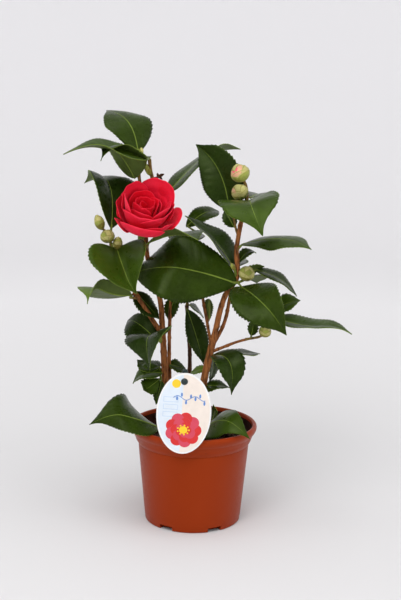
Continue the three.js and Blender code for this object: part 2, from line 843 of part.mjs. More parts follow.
const inner = (r) => r - WALL;
const potProfile = [
  [0, 0],
  [FOOT_RADIUS - FOOT_EDGE, 0],
  [FOOT_RADIUS, FOOT_EDGE],
  [WALL_TOP_RADIUS, COLLAR_FOOT],
  [WALL_TOP_RADIUS + SHOULDER, COLLAR_FOOT + SHOULDER_RISE],
  [COLLAR_RADIUS, RIM_FOOT],
  [RIM_RADIUS - RIM_EDGE, RIM_FOOT + 2 * RIM_EDGE],
  [RIM_RADIUS, RIM_HEIGHT - 4 * RIM_EDGE],
  [RIM_RADIUS - RIM_EDGE / 2, RIM_HEIGHT - RIM_EDGE],
  [RIM_RADIUS - 2 * RIM_EDGE, RIM_HEIGHT],
  [RIM_RADIUS - 4 * RIM_EDGE, RIM_HEIGHT - RIM_EDGE],
  [inner(COLLAR_RADIUS) + RIM_EDGE / 2, RIM_HEIGHT - 4 * RIM_EDGE],
  [inner(COLLAR_RADIUS), RIM_FOOT],
  [inner(WALL_TOP_RADIUS) + INNER_SHOULDER, COLLAR_FOOT + SHOULDER_RISE],
  [inner(WALL_TOP_RADIUS), COLLAR_FOOT],
  [inner(FOOT_RADIUS), FLOOR],
  [0, FLOOR],
];
let pot = toSolid(turned(potProfile, POT_SIDES));
for (let i = 0; i < NOTCHES; i++) {
  const notch = new THREE.BoxGeometry(NOTCH_WIDTH, NOTCH_DEPTH + 6, 2 * NOTCH_HEIGHT);
  notch.translate(0, -(FOOT_RADIUS - NOTCH_DEPTH / 2 + 3), 0);
  notch.rotateZ(rad(NOTCH_TURN + (360 / NOTCHES) * (i + 0.5)));
  pot = pot.subtract(toSolid(notch));
}
addMesh("pot", toGeometry(pot), 0x9a3f24, 0.45);

const soilProfile = [
  [0, FLOOR + SOIL_GAP],
  [inner(FOOT_RADIUS) - SOIL_GAP, FLOOR + SOIL_GAP],
  [inner(WALL_TOP_RADIUS) - SOIL_GAP, COLLAR_FOOT],
  [inner(WALL_TOP_RADIUS) + INNER_SHOULDER - SOIL_GAP, COLLAR_FOOT + SHOULDER_RISE],
  [inner(COLLAR_RADIUS) - 4 * SOIL_GAP, SOIL_TOP],
  [0, SOIL_TOP],
];
const stakeFoot = [TAG.x + 1, -50, SOIL_TOP - STAKE_DEPTH];
const stakeHead = [TAG.x + 0.5, TAG.y + 4.4, STAKE_TOP];
function stake(swell) {
  const length = V(stakeFoot).distanceTo(V(stakeHead));
  const g = new THREE.BoxGeometry(STAKE_WIDTH + 2 * swell, STAKE_THICK + 2 * swell, length + 2 * swell);
  const lean = Math.atan2(stakeHead[1] - stakeFoot[1], stakeHead[2] - stakeFoot[2]);
  g.rotateX(-lean);
  const middle = V(stakeFoot).lerp(V(stakeHead), 0.5);
  return toSolid(g.translate(...middle.toArray()));
}
const soil = toSolid(turned(soilProfile, POT_SIDES)).subtract(stake(GAP));
addMesh("soil", toGeometry(soil), 0x2a1a12, 1);

// The card is an oval with a round hole near its top, on a stud at the head of the stake.
function tagOutline(a, b, n) {
  const shape = new THREE.Shape();
  for (let i = 0; i < n; i++) {
    const t = (2 * Math.PI * i) / n;
    const x = a * Math.cos(t);
    const z = b * Math.sin(t);
    if (i === 0) shape.moveTo(x, z);
    else shape.lineTo(x, z);
  }
  shape.closePath();
  return shape;
}
const card = tagOutline(TAG.width / 2, TAG.height / 2, 48);
const hole = new THREE.Path();
hole.absarc(TAG_HOLE.x, TAG_HOLE.z, TAG_HOLE_RADIUS + GAP, 0, 2 * Math.PI, true);
card.holes.push(hole);
const extrusion = { depth: TAG.thick, bevelEnabled: false, curveSegments: 12 };
const cardGeometry = new THREE.ExtrudeGeometry(card, extrusion);
cardGeometry.translate(0, 0, -TAG.thick / 2).rotateX(Math.PI / 2).rotateY(rad(-TAG.lean));
cardGeometry.translate(TAG.x, TAG.y, TAG.z);
addMesh("label_tag", toGeometry(toSolid(cardGeometry)), 0xf3efe8, 0.4);

const stud = new THREE.CylinderGeometry(TAG_HOLE_RADIUS, TAG_HOLE_RADIUS, 8, 16);
stud.translate(TAG_HOLE.x, 0, TAG_HOLE.z).rotateY(rad(-TAG.lean)).translate(TAG.x, TAG.y + 2.4, TAG.z);
addMesh("label_stake", toGeometry(stake(0).add(toSolid(stud))), 0x1f4a44, 0.4);

export default group;
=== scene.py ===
import math

import bpy
import numpy as np
from mathutils import Matrix


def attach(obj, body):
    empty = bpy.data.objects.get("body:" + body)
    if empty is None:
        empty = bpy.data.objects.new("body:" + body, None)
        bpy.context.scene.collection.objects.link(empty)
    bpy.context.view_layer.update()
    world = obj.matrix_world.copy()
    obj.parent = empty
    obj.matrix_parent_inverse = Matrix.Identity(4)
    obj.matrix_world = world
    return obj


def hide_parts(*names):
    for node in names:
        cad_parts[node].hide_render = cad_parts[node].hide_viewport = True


# A young camellia in a nursery pot, dressed over its frame.
# Every length below is in millimetres and becomes metres when a mesh is made.
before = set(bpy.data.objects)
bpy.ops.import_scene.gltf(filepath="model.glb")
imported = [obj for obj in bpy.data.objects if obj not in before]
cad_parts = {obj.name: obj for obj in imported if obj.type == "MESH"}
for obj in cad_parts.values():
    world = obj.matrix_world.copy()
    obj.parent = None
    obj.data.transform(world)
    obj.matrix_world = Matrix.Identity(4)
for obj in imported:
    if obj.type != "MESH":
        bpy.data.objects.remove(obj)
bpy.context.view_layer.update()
MM = 0.001

# The camera stands in front of the pot, a little above it and slightly rolled.
LENS = 70
AIM = (5.2, 0, 247.5)
DISTANCE = 1270
ELEVATION = math.radians(10.9)
ROLL = math.radians(0.95)

# The sweep that the pot stands on.
SWEEP_RADIUS = 3400
SWEEP_HEIGHT = 2600
SWEEP_BEND = 1500

# Pot, soil and label, as the frame has them.
RIM_RADIUS = 70
RIM_HEIGHT = 109.5
FOOT_RADIUS = 53.2
COLLAR_RADIUS = 66.3
COLLAR_FOOT = 88
WALL_TOP_RADIUS = 61.4
WALL = 1.8
FLOOR = 2.6
POT_SIDES = 192
NOTCHES = 6
NOTCH_WIDTH = 16
NOTCH_HEIGHT = 5
NOTCH_DEPTH = 8
NOTCH_TURN = -2.5
SOIL_TOP = 95
CRUMBS = 1300
TAG = {"x": -10.3, "y": -72.8, "z": 140.4, "width": 57.4, "height": 87.4, "thick": 1.2, "lean": -2.8}
TAG_HOLE = (-1.4, 34.6)
TAG_HOLE_RADIUS = 3.7
STAKE_FOOT = (-9.5, -50, 50)
STAKE_HEAD = (-9.5, -68.4, 187)

# Limbs: radius at the foot, radius at the tip, root flare, points along it.
LIMBS = {
    "stem_left": [4.0, 3.3, 2.2, [[-29, -1, 92], [-33, -1, 168], [-35.5, 0, 211]]],
    "stem_left_thin": [2.2, 1.8, 1, [[-22, 9, 92], [-28, 9, 165], [-27.5, 12, 240], [-25, 18, 262]]],
    "stem_middle": [2.6, 2.0, 1.2, [[-7, 26, 92], [-6, 26, 185], [-10, 26, 236]]],
    "stem_right": [4.3, 3.8, 2.4, [[-2, -5, 92], [9, -5, 152], [20, -5, 206]]],
    "leader_left": [
        3.1, 2.1, 0, [[-35.5, 0, 209], [-39, 3, 247], [-53, 5, 292], [-56, 1, 335], [-62, -4, 374]],
    ],
    "bough_left": [2.6, 2.0, 0, [[-35.5, 0, 207], [-63, -8, 252], [-88, -15, 294]]],
    "leader_right": [
        3.2, 2.3, 0,
        [[19.5, -5, 203], [31, -7, 252], [44, -10, 276], [43, -8, 303], [47, -8, 333], [53, -9, 356]],
    ],
    "bough_right_outer": [2.1, 1.6, 0, [[19, -5, 198], [31, 3, 220], [38, 6, 255], [41, 6, 275]]],
    "bough_right_inner": [1.7, 1.4, 0, [[18, -4, 198], [10, 9, 235], [4, 26, 268], [1, 31, 300]]],
    "side_branch": [1.7, 1.4, 0, [[16, -5, 190], [45, -4, 202], [57, -5, 206]]],
}

# Masses of foliage: twigs, leaves and buds, and the leaves' greens in order (d painted shade, m plain, f
# painted light, y young). d and f are darker and lighter copies of the one green, painted where a leaf lies in
# shade or catches the light.
# A twig is [radius at foot, radius at tip, points].
# A leaf is [foot x, y, z, length, bearing, rise, roll, width], then its shape where that isn't the usual one:
# [arch, curl, bow, left, right, twist, wide, skew, full, tip]. See blade_grid.
# A bud is [centre x, y, z, radius, length, bearing, rise].
MASSES = {
    "foliage_top_left": dict(greens="mfmm", twigs=[
        [1.9, 1.3, [[-61, -3, 370], [-62.5, -5, 388], [-60, -5, 405]]],
        [2.2, 1.9, [[-57.5, -1, 350], [-48.5, -4, 377], [-50, -8, 388], [-51, -14, 400]]],
    ], leaves=[
        [-63.5, -4, 406, 66, 136, 38, -10, 56, 0.23, -0.04, 0.04, 1, 2, 3, 0.47, 0.02, 0.78, 0.45],
        [-51.5, -14, 401, 89, -158, 16, -15, 46, -0.02, 0.24, -0.09, 16, 23, 28, 0.45, 0.03, 0.85, 0.42],
        [-66.5, -6, 379, 67, -120, 29, 4, 53, 0.27, 0.18, 0.14, 0, 24, 16, 0.28, -0.23, 1.1, 0.71],
        [-62, 0, 395, 58, 112, -2, 0, 40],
    ], buds=[
        [-60, -5, 408, 2.2, 8, 90, 75],
        [-53.2, -9.5, 389.5, 3, 15, -163, 65],
    ]),
    "foliage_left_tip": dict(greens="dfd", twigs=[
        [1.9, 1.3, [[-87, -14.6, 292], [-91, -15, 304], [-91.5, -12, 323]]],
        [1.2, 1.2, [[-91, -13, 318], [-100, -16, 326]]],
    ], leaves=[
        [-91.5, -12, 325.5, 86, 114, 39, 15, 55, 0.27, 0.19, -0.01, 18, 21, 7, 0.47, 0.09, 0.87, 0.44],
        [-84.5, -16, 304, 69, -65, -39, 1, 85, 0.04, -0.1, 0.03, 61, 29, 21, 0.35, 0.07, 0.96, 0.61],
        [-89, -10, 300, 62, 97, -6, 0, 42],
    ], buds=[
        [-103.5, -16, 333, 5.3, 17, 180, 70],
        [-94.5, -21, 319, 7.6, 15, -100, 60],
        [-84, -16, 311, 5.3, 14, 60, 75],
    ]),
    "foliage_left_low": dict(greens="yd", twigs=[
        [1.5, 1.2, [[-62, -8, 250], [-70, -11, 251]]],
        [1.2, 1.1, [[-69, -11, 251], [-71, -5, 250], [-68, 1, 253]]],
    ], leaves=[
        [-69, -14, 254.5, 73, -136, 24, 38, 51, -0.09, 0.5, 0.05, 47, 28, -21, 0.37, 0.44, 0.98, 0.74],
        [-66, 2, 255, 40, -11, -46, 33, 26, 0.01, 0.02, 0, -2, 3, -5, 0.4, 0.08, 0.79, 0.45],
    ]),
    "foliage_under_bloom": dict(greens="m", twigs=[
        [1.4, 1.1, [[-54, 3.5, 301], [-52, 0, 310]]],
    ], leaves=[
        [-53.5, 0, 308.5, 79, -45, 9, -15, 34, 0.11, 0, -0.06, 24, 29, 22, 0.64, -0.15, 0.64, 0.56],
    ]),
    "foliage_behind_bloom": dict(greens="mm", twigs=[
        [1.5, 1.1, [[-57, 0, 345], [-46, 12, 353], [-32, 19, 363]]],
    ], leaves=[
        [-29.6, 24.5, 363.6, 102, 35, 32, -3, 38, 0.08, 0.13, 0.03, 5, 13, -39, 0.33, -0.02, 0.71, 0.46],
        [-47, 14, 354, 60, 110, -6, 0, 44],
    ]),
    "foliage_back_left": dict(greens="md", twigs=[
        [1.5, 1.1, [[-49, 4.5, 280], [-48, 13, 282]]],
    ], leaves=[
        [-47, 14, 282, 66, 58, -5, 0, 44],
        [-50, 14, 281, 60, 125, -12, 0, 42],
    ]),
    "foliage_centre": dict(greens="mm", twigs=[
        [2, 1.5, [[43.5, -9, 271], [45, -15, 270]]],
    ], leaves=[
        [43.5, -16, 269, 105, -171, 12, -65, 79, -0.01, 0.28, 0.05, -8, -5, 25, 0.62, 0.07, 0.47, 0.18],
        [48, -17, 266, 83, -52, -25, 21, 53, 0.13, 0.07, 0.03, 22, 11, 72, 0.42, 0.1, 0.85, 0.33],
    ], buds=[
        [54.3, -16, 280.5, 8.6, 17, -60, 60],
        [39.2, -13, 287.1, 2.3, 9, 170, 62],
    ]),
    "foliage_centre_back": dict(greens="dd", twigs=[
        [1.5, 1.2, [[43.5, -9, 284], [39, 1, 284]]],
    ], leaves=[
        [39, 2, 285, 76, 157, 39, -20, 45, 0.08, -0.07, 0.04, 37, 6, 13, 0.38, 0.03, 0.76, 0.45],
        [40, 3, 283, 68, 97, -8, 0, 42],
    ]),
    "foliage_right_back": dict(greens="mfm", twigs=[
        [1.4, 1.1, [[44, -10, 277], [49, -3, 277], [56, 0, 279]]],
    ], leaves=[
        [64.5, 0, 281.5, 53, -3, -31, 13, 26, 0.12, 0.01, 0.01, 12, 6, -2, 0.39, 0.01, 0.7, 0.4],
        [51, 0, 274, 26, 12, 25, -50, 18],
        [52, 3, 273, 56, 72, -16, 0, 40],
    ]),
    "foliage_right_upper": dict(greens="f", twigs=[
        [1.4, 1.1, [[43, -8, 302], [46, -11, 308]]],
    ], leaves=[
        [47, -12, 310.5, 80, -25, 2, 4, 44, 0.08, 0.02, -0.13, 5, -14, 4, 0.44, 0, 0.85, 0.53],
    ]),
    "foliage_right_small": dict(greens="m", twigs=[
        [1.2, 1, [[43, -9, 289], [46, -4, 290]]],
    ], leaves=[
        [46, -3, 290.5, 25, 36, 21, 19, 14, 0.26, 0.04, -0.01, 15, 13, 1, 0.42, -0.01, 0.75, 0.45],
    ]),
    "foliage_upper_right": dict(greens="dd", twigs=[
        [1.3, 1.1, [[45, -8, 318], [41, -3, 330], [37, 1, 350]]],
    ], leaves=[
        [34.2, 13, 346.2, 78, 148, 59, -77, 49, 0.08, -0.1, 0.13, 22, 19, 1, 0.4, 0.04, 0.68, 0.55],
        [40, -1, 328, 22, 140, 50, -45, 16],
    ]),
    "foliage_top_right": dict(greens="fm", twigs=[
        [2.1, 1.5, [[52.5, -9, 353], [52, -8, 370], [48, -8, 382]]],
    ], leaves=[
        [54.5, -6, 357.5, 75, -90, -1, 25, 65, 0.03, 0.39, -0.02, 4, 29, -6, 0.59, 0.06, 0.59, 0.75],
        [57, -4, 360, 60, 72, -6, 0, 42],
    ], buds=[
        [44.7, -10, 387.2, 10.2, 20, 180, 65],
        [44.6, -14, 367.5, 9, 18, -135, 55],
    ]),
    "foliage_right_low": dict(greens="ffm", twigs=[
        [1.35, 1.2, [[55, -5, 205.5], [72, -6, 210], [78, -5, 216], [80, -2, 224]]],
        [1.1, 1, [[80, -2, 223], [82, 8, 232]]],
    ], leaves=[
        [91, -4, 228.5, 81, -23, 4, 6, 35, -0.1, 0.18, -0.07, 18, 9, -17, 0.32, -0.04, 0.7, 0.49],
        [89, 9, 236, 28, -6, 25, 38, 26, 0.12, 0.02, -0.01, 14, 13, -3, 0.41, -0.01, 0.76, 0.45],
        [61, -2, 209, 19, 75, 60, 26, 13, 0.08, 0.01, 0.03, 16, 12, 0, 0.45, 0, 0.78, 0.45],
    ], buds=[
        [76, -9, 216, 6.8, 13, -60, 50],
    ]),
    "foliage_low_right": dict(greens="d", twigs=[
        [1.7, 1.3, [[16.5, -5, 184], [20, -11, 187]]],
    ], leaves=[
        [18, -12, 188, 52, -57, -37, 6, 34, 0.39, 0.07, -0.06, 30, 6, -6, 0.49, 0, 0.74, 0.62],
    ]),
    "foliage_low_right_back": dict(greens="dd", twigs=[
        [1.5, 1.1, [[16, -5, 183], [20, 2, 184]]],
    ], leaves=[
        [34.5, 3.5, 188, 49, 37, -8, 9, 24, 0.01, 0.01, 0.01, 8, 11, 0, 0.42, 0.01, 0.75, 0.45],
        [20, 4, 181.5, 26, 30, -98, 56, 19, 0.08, 0.02, 0.01, 17, 7, 3, 0.44, -0.01, 0.78, 0.44],
    ]),
    "foliage_foot_right": dict(greens="m", twigs=[
        [1.4, 1.1, [[9.5, -5, 154], [14, -3, 153]]],
    ], leaves=[
        [12.5, -3, 151.5, 27, -13, 2, 21, 23, 0.08, 0.03, 0.01, 6, 8, -26, 0.34, 0.05, 0.77, 0.45],
    ]),
    "foliage_foot_inner": dict(greens="y", twigs=[
        [1.2, 1, [[12, -5, 168], [7, -3, 168]]],
    ], leaves=[
        [10.5, -2.5, 171, 18, 153, -21, -34, 15, 0.04, -0.01, -0.01, 13, 6, 10, 0.39, 0.04, 0.76, 0.45],
    ]),
    "foliage_low_left": dict(greens="dd", twigs=[
        [1.8, 1.3, [[-35, 0, 203], [-40, -2, 204]]],
    ], leaves=[
        [-39, -6.5, 207.5, 48, -103, -22, 4, 56, 0.31, 0.23, 0.09, 25, 1, 30, 0.4, 0.01, 0.86, 0.39],
        [-43.5, 1.5, 203, 44, 145, 24, -41, 37, 0.17, 0.12, 0, 7, 18, -5, 0.42, -0.17, 0.73, 0.43],
    ], buds=[
        [-38, -5, 203.8, 2.2, 8, -100, 60],
    ]),
    "foliage_foot_left": dict(greens="mffm", twigs=[
        [1.8, 1.3, [[-33, -1, 166], [-38.5, -2, 166]]],
    ], leaves=[
        [-38, 1, 171.5, 30, 151, 6, -26, 26, -0.03, -0.04, -0.04, 11, -5, 5, 0.41, -0.03, 0.73, 0.44],
        [-35, -4, 165.5, 35, -180, -16, -28, 30, 0.14, 0.1, 0.05, 18, 11, 10, 0.4, 0.05, 0.78, 0.46],
        [-37, -6, 160.5, 27, -137, -22, -43, 21, -0.15, -0.07, 0.02, 3, 6, -5, 0.59, 0.06, 0.78, 0.45],
        [-36.5, -6, 157.5, 27, -151, -77, -32, 16, -0.01, 0, 0, 12, 7, 2, 0.38, -0.01, 0.72, 0.44],
    ]),
    "foliage_foot_thin": dict(greens="m", twigs=[
        [1.2, 1, [[-28, 9, 168], [-24, 7, 169]]],
    ], leaves=[
        [-28, 7.5, 173, 23, 35, -19, 45, 19, 0.04, 0.01, 0.03, 8, 13, 0, 0.43, 0.03, 0.75, 0.45],
    ]),
    "foliage_inner": dict(greens="dm", twigs=[
        [1.9, 1.3, [[-9.8, 26, 233], [-9, 26, 246]]],
    ], leaves=[
        [-9.5, 22.5, 232.5, 64, -20, -71, 43, 27, -0.03, 0.02, -0.03, 12, 16, -3, 0.47, -0.06, 0.83, 0.44],
        [-7, 29.5, 236, 27, 40, -39, 28, 21, 0.08, 0.02, 0.04, 10, 4, -2, 0.43, 0.01, 0.76, 0.45],
    ]),
    "foliage_inner_left": dict(greens="m", twigs=[
        [1.4, 1.1, [[-25.3, 17.5, 259], [-23, 16, 268]]],
    ], leaves=[
        [-22, 13.5, 248.5, 29, 178, -74, -71, 17, 0.12, 0.05, 0, 11, 10, 2, 0.39, -0.01, 0.78, 0.44],
    ]),
    "foliage_inner_right": dict(greens="d", twigs=[
        [1.1, 1, [[12.5, 4.5, 222], [15, 9, 225]]],
    ], leaves=[
        [15, 10.5, 246.5, 35, 90, -59, 31, 12, 0.02, 0.03, -0.06, 13, 18, -1, 0.4, 0, 0.75, 0.45],
    ]),
    "foliage_inner_top": dict(greens="md", twigs=[
        [1.3, 1, [[1.2, 30.8, 298], [0, 29, 317]]],
    ], leaves=[
        [-12, 37, 322.4, 48, 39, 15, 24, 25, 0.25, -0.06, 0.06, 10, 8, 2, 0.45, 0.04, 0.76, 0.45],
        [0, 32, 308, 56, 118, -8, 0, 40],
    ]),
    "foliage_base_left": dict(greens="m", twigs=[
        [1.8, 1.4, [[-29.3, -1, 103], [-31, -16, 105], [-33, -28, 107]]],
    ], leaves=[
        [-37.5, -30, 112, 72, -166, 19, -24, 67, 0.08, 0.31, -0.06, 1, -13, -49, 0.41, 0.32, 0.92, 0.5],
    ]),
    "foliage_base_right": dict(greens="fm", twigs=[
        [1.8, 1.3, [[0, -5, 105], [9, -13, 104]]],
    ], leaves=[
        [13, -16, 108, 62, -47, 12, 24, 44, 0.15, 0.21, -0.03, 6, -21, 2, 0.34, 0.01, 0.86, 0.36],
        [20.5, -9.5, 115.5, 17, 3, 83, 25, 14, -0.06, -0.1, 0, 3, 9, 4, 0.45, 0.01, 0.77, 0.45],
    ]),
}

# The usual shape of a leaf, and how far the margins of each leaf roll down.
USUAL_SHAPE = [0.08, 0, 0, 12, 12, 0, 0.42, 0, 0.75, 0.45]
CUP = 0.1

# A leaf's thickness, teeth and side veins, and the radii of stalks where they start and end.
LEAF_THICK = 0.55
TOOTH_STEP = 3.6
TOOTH_DEPTH = 1.9
VEIN_STEP = 8.5
VEIN_RELIEF = 0.28
STALK_RADII = (1.25, 0.85)
BUD_STALK_RADII = (1.3, 1.6)

# The turn from one scale of a bud to the next.
GOLDEN_ANGLE = math.radians(137.5)
# Stems with nearly black bark.
# Stems whose bark is painted nearly black: painted shade for the stem that stands in shadow at the back.
SHADED_LIMBS = ["stem_middle"]
# The pale buds that show pink: how near a place is to the sunny side where it blushes, and where it is pink.
BLUSHED_BUDS = {"foliage_top_right": [(0.6, 0.93), (0.84, 2)]}
NO_BLUSH = (2, 2)
SUNNY_SIDE = (-0.62, -0.62, 0.48)
# The dried calyx of a spent flower above the bloom: its stub, and rows like a leaf's for its sepals.
SPENT_STUB = [(-47.8, -4.5, 379.5), (-44, -3.5, 380), (-41, -3, 381)]
SPENT_SEPALS = [
    [-41.5, -3, 380.8, 6.6, 0, 28, -70, 3.6],
    [-41.5, -3, 380.8, 5, -20, -32, -60, 3.2],
    [-41.5, -3, 380.8, 4.4, 160, 66, -80, 3],
    [-41.5, -3, 380.8, 5, 60, 5, -40, 3],
]

# The bloom, worked out upright and then turned to face out.
# A petal is [bearing, radius, height, closing angle, half-angle, lip, point].
BLOOM_SEAT = (-58.4, -22, 330.1)
BLOOM_BEARING = -74
BLOOM_RISE = 55
OUTER_PETALS = [
    [54, 25.5, 42.6, 89, 49, 3.3, 0],
    [140, 18.9, 41.3, 90, 51, 2.2, 0],
    [203, 20.2, 42.4, 90, 34, 0.6, 0],
    [179, 24.6, 27.6, 87, 39, 1.9, 0],
    [217, 33.2, 20.5, 74, 24, 1, 0.3],
    [258, 22.4, 33.2, 92, 56, 1.2, 0],
    [338, 20.6, 38.5, 92, 45, 1.5, 0],
    [327, 23.5, 33.8, 91, 62, 2.2, 0],
    [268, 33, 27.2, 94, 42, 0.6, 0],
    [3, 34.9, 23.5, 83, 29, 2.3, 0.1],
    [100, 25, 30, 84, 50, 2, 0],
    [32, 27, 26, 82, 44, 2, 0],
    [165, 24, 23, 90, 40, 2, 0],
    [305, 29, 25, 92, 36, 1, 0],
    [52, 22.5, 31.6, 96, 43, 2.8, 0],
    [150, 19, 36, 95, 55, 2, 0],
    [255, 13.6, 30.7, 96, 50, 0.6, 0],
    [28, 13.7, 28.2, 98, 32, 0.7, 0],
]
INNER_PETALS = [
    [243, 10.6, 36, 102, 56, 0.4, 0],
    [110, 13, 34, 104, 60, 1, 0],
    [20, 10, 32, 106, 60, 1, 0],
    [190, 8, 32, 110, 70, 0.5, 0],
    [75, 7, 31, 112, 80, 0.5, 0],
    [300, 5, 30, 116, 90, 0.3, 0],
    [180, 3, 29, 120, 110, 0, 0],
]
SEPALS = [[60 * k, 12, 5, 70, 34, 0.5, 0.1] for k in range(6)]
BLOOM_STALK = [(-55.5, 2.5, 318), (-60.5, -6, 312), (-60.5, -14.5, 318), BLOOM_SEAT]


# Small helpers for vectors and curves.
def unit(v):
    return v / np.maximum(np.linalg.norm(v, axis=-1, keepdims=True), 1e-9)


def smooth(low, high, x):
    s = np.clip((x - low) / (high - low), 0, 1)
    return s * s * (3 - 2 * s)


def catmull(points, per_span=24):
    """Points along a centripetal Catmull-Rom curve."""
    p = [np.array(q, float) for q in points]
    p = [2 * p[0] - p[1]] + p + [2 * p[-1] - p[-2]]
    s = np.linspace(0, 1, per_span + 1)[:, None]
    out = [p[1]]
    for a, b, c, d in zip(p, p[1:], p[2:], p[3:]):
        ta, tb, tc = (math.sqrt(np.linalg.norm(v)) for v in (b - a, c - b, d - c))
        m1 = tb * ((b - a) / ta - (c - a) / (ta + tb) + (c - b) / tb)
        m2 = tb * ((c - b) / tb - (d - b) / (tb + tc) + (d - c) / tc)
        span = b + m1 * s + (3 * (c - b) - 2 * m1 - m2) * s**2 + (2 * (b - c) + m1 + m2) * s**3
        out.extend(span[1:])
    return np.array(out)


def evenly(path, step):
    """The same path with even steps of about that length, and the distance along it."""
    spans = np.linalg.norm(np.diff(path, axis=0), axis=1)
    travelled = np.concatenate([[0], np.cumsum(spans)])
    count = max(2, round(travelled[-1] / step))
    s = np.linspace(0, travelled[-1], count + 1)
    return np.stack([np.interp(s, travelled, path[:, k]) for k in range(3)], axis=1), s


def transport(path):
    """Two directions square to the path that turn with it as little as they can."""
    tangents = unit(np.gradient(path, axis=0))
    lean = np.array([1.0, 0, 0]) if abs(tangents[0][0]) < 0.8 else np.array([0, 1.0, 0])
    normals = []
    for t in tangents:
        lean = lean - t * (lean @ t)
        lean = lean / np.linalg.norm(lean)
        normals.append(lean)
    normals = np.array(normals)
    return normals, np.cross(tangents, normals)


# Points to faces.
def grid_faces(rows, cols, closed=False):
    wide = cols if closed else cols + 1
    r, c = np.meshgrid(np.arange(rows), np.arange(cols), indexing="ij")
    a = r * wide + c
    b = r * wide + (c + 1) % wide
    return np.stack([a, b, b + wide, a + wide], axis=-1).reshape(-1, 4)


def fan(hub, ring):
    """Triangles from a hub to the points of a ring."""
    return np.stack([np.full(len(ring), hub), np.roll(ring, -1), ring], axis=-1)


class Skin:
    """Collects surfaces and joins them in one mesh piece."""

    def __init__(self):
        self.points = []
        self.faces = []
        self.tints = []
        self.total = 0

    def add(self, points, *parts):
        """Points, then pairs of faces and the tint of each of those faces."""
        points = np.asarray(points, float).reshape(-1, 3)
        for faces, tint in parts:
            self.faces.append(np.asarray(faces) + self.total)
            self.tints.append(np.broadcast_to(tint, len(faces)))
        self.points.append(points)
        self.total += len(points)

    def sheet(self, grid, thick, upper, lower, rim):
        """A closed thin sheet round a grid of points."""
        rows, cols = grid.shape[0] - 1, grid.shape[1] - 1
        off = unit(np.cross(np.gradient(grid, axis=1), np.gradient(grid, axis=0))) * thick / 2
        count = (rows + 1) * (cols + 1)
        top = grid_faces(rows, cols)
        index = np.arange(count).reshape(rows + 1, cols + 1)
        ring = np.concatenate([index[0, :-1], index[:-1, -1], index[-1, :0:-1], index[:0:-1, 0]])
        following = np.roll(ring, -1)
        edge = np.stack([ring, ring + count, following + count, following], axis=-1)
        points = np.concatenate([(grid + off).reshape(-1, 3), (grid - off).reshape(-1, 3)])
        self.add(points, (top, upper), (top[:, ::-1] + count, lower), (edge, rim))

    def tube(self, rings, ends, tint=0):
        """A closed body of rings of points, with a point at each end."""
        rows, sides = rings.shape[:2]
        k = np.arange(sides)
        body = grid_faces(rows - 1, sides, closed=True)
        tints = np.broadcast_to(tint, len(body))
        tip = fan(rows * sides + 1, (rows - 1) * sides + k)[:, [0, 2, 1]]
        points = np.concatenate([rings.reshape(-1, 3), ends])
        self.add(points, (body, tints), (fan(rows * sides, k), tints[0]), (tip, tints[-1]))

    def bar(self, path, radii, sides=10, relief=0, tint=0):
        """A round bar along a path, with domed ends."""
        normals, binormals = transport(path)
        angles = np.linspace(0, 2 * math.pi, sides, endpoint=False)
        ring = normals[:, None] * np.cos(angles)[:, None] + binormals[:, None] * np.sin(angles)[:, None]
        size = np.broadcast_to(np.asarray(radii, float)[:, None], (len(path), sides)) + relief
        points = path[:, None] + ring * size[..., None]
        tangent = unit(path[[1, -1]] - path[[0, -2]])
        ends = [path[0] - tangent[0] * size[0].mean() * 0.45, path[-1] + tangent[1] * size[-1].mean() * 0.45]
        self.tube(points, ends, tint)

    def turned(self, profile, sides, tint=0):
        """A closed solid turned about Z from a profile that starts and ends on the axis."""
        profile = np.asarray(profile, float)
        angles = np.linspace(0, 2 * math.pi, sides, endpoint=False)
        inner = profile[1:-1]
        ring = np.stack([np.cos(angles), np.sin(angles)], axis=-1)
        heights = np.repeat(inner[:, None, 1:], sides, 1)
        points = np.concatenate([inner[:, None, :1] * ring[None], heights], axis=-1)
        self.tube(points, [[0, 0, profile[0][1]], [0, 0, profile[-1][1]]], tint)

    def mesh(self, name, materials, sharp=None):
        mesh = bpy.data.meshes.new(name)
        points = np.concatenate(self.points) * MM
        corners = np.concatenate([f.ravel() for f in self.faces])
        sizes = np.concatenate([np.full(len(f), f.shape[1]) for f in self.faces])
        mesh.vertices.add(len(points))
        mesh.vertices.foreach_set("co", points.ravel())
        mesh.loops.add(len(corners))
        mesh.loops.foreach_set("vertex_index", corners.astype(np.int32))
        mesh.polygons.add(len(sizes))
        mesh.polygons.foreach_set("loop_start", (np.cumsum(sizes) - sizes).astype(np.int32))
        mesh.polygons.foreach_set("material_index", np.concatenate(self.tints).astype(np.int32))
        mesh.polygons.foreach_set("use_smooth", np.ones(len(sizes), bool))
        mesh.update(calc_edges=True)
        mesh.validate()
        for material in materials:
            mesh.materials.append(material)
        if sharp is not None:
            mesh.set_sharp_from_angle(angle=math.radians(sharp))
        return mesh

    def piece(self, name, materials, slot, nodes, sharp=None):
        """The mesh object, riding on the part and standing for its nodes."""
        obj = bpy.data.objects.new(name, self.mesh(name, materials, sharp))
        bpy.context.scene.collection.objects.link(obj)
        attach(obj, "root")
        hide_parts(*nodes)
        return obj


# Materials.
def principled(name, color, roughness, **sockets):
    material = bpy.data.materials.new(name)
    material.use_nodes = True
    shader = material.node_tree.nodes["Principled BSDF"]
    shader.inputs["Base Color"].default_value = (*color, 1)
    shader.inputs["Roughness"].default_value = roughness
    for socket, value in sockets.items():
        shader.inputs[socket.replace("_", " ")].default_value = value
    return material


def coordinates(tree, stretch=(1, 1, 1)):
    """Object coordinates, in metres, with each axis stretched."""
    place = tree.nodes.new("ShaderNodeTexCoord")
    mapping = tree.nodes.new("ShaderNodeMapping")
    mapping.inputs["Scale"].default_value = stretch
    tree.links.new(place.outputs["Object"], mapping.inputs["Vector"])
    return mapping.outputs["Vector"]


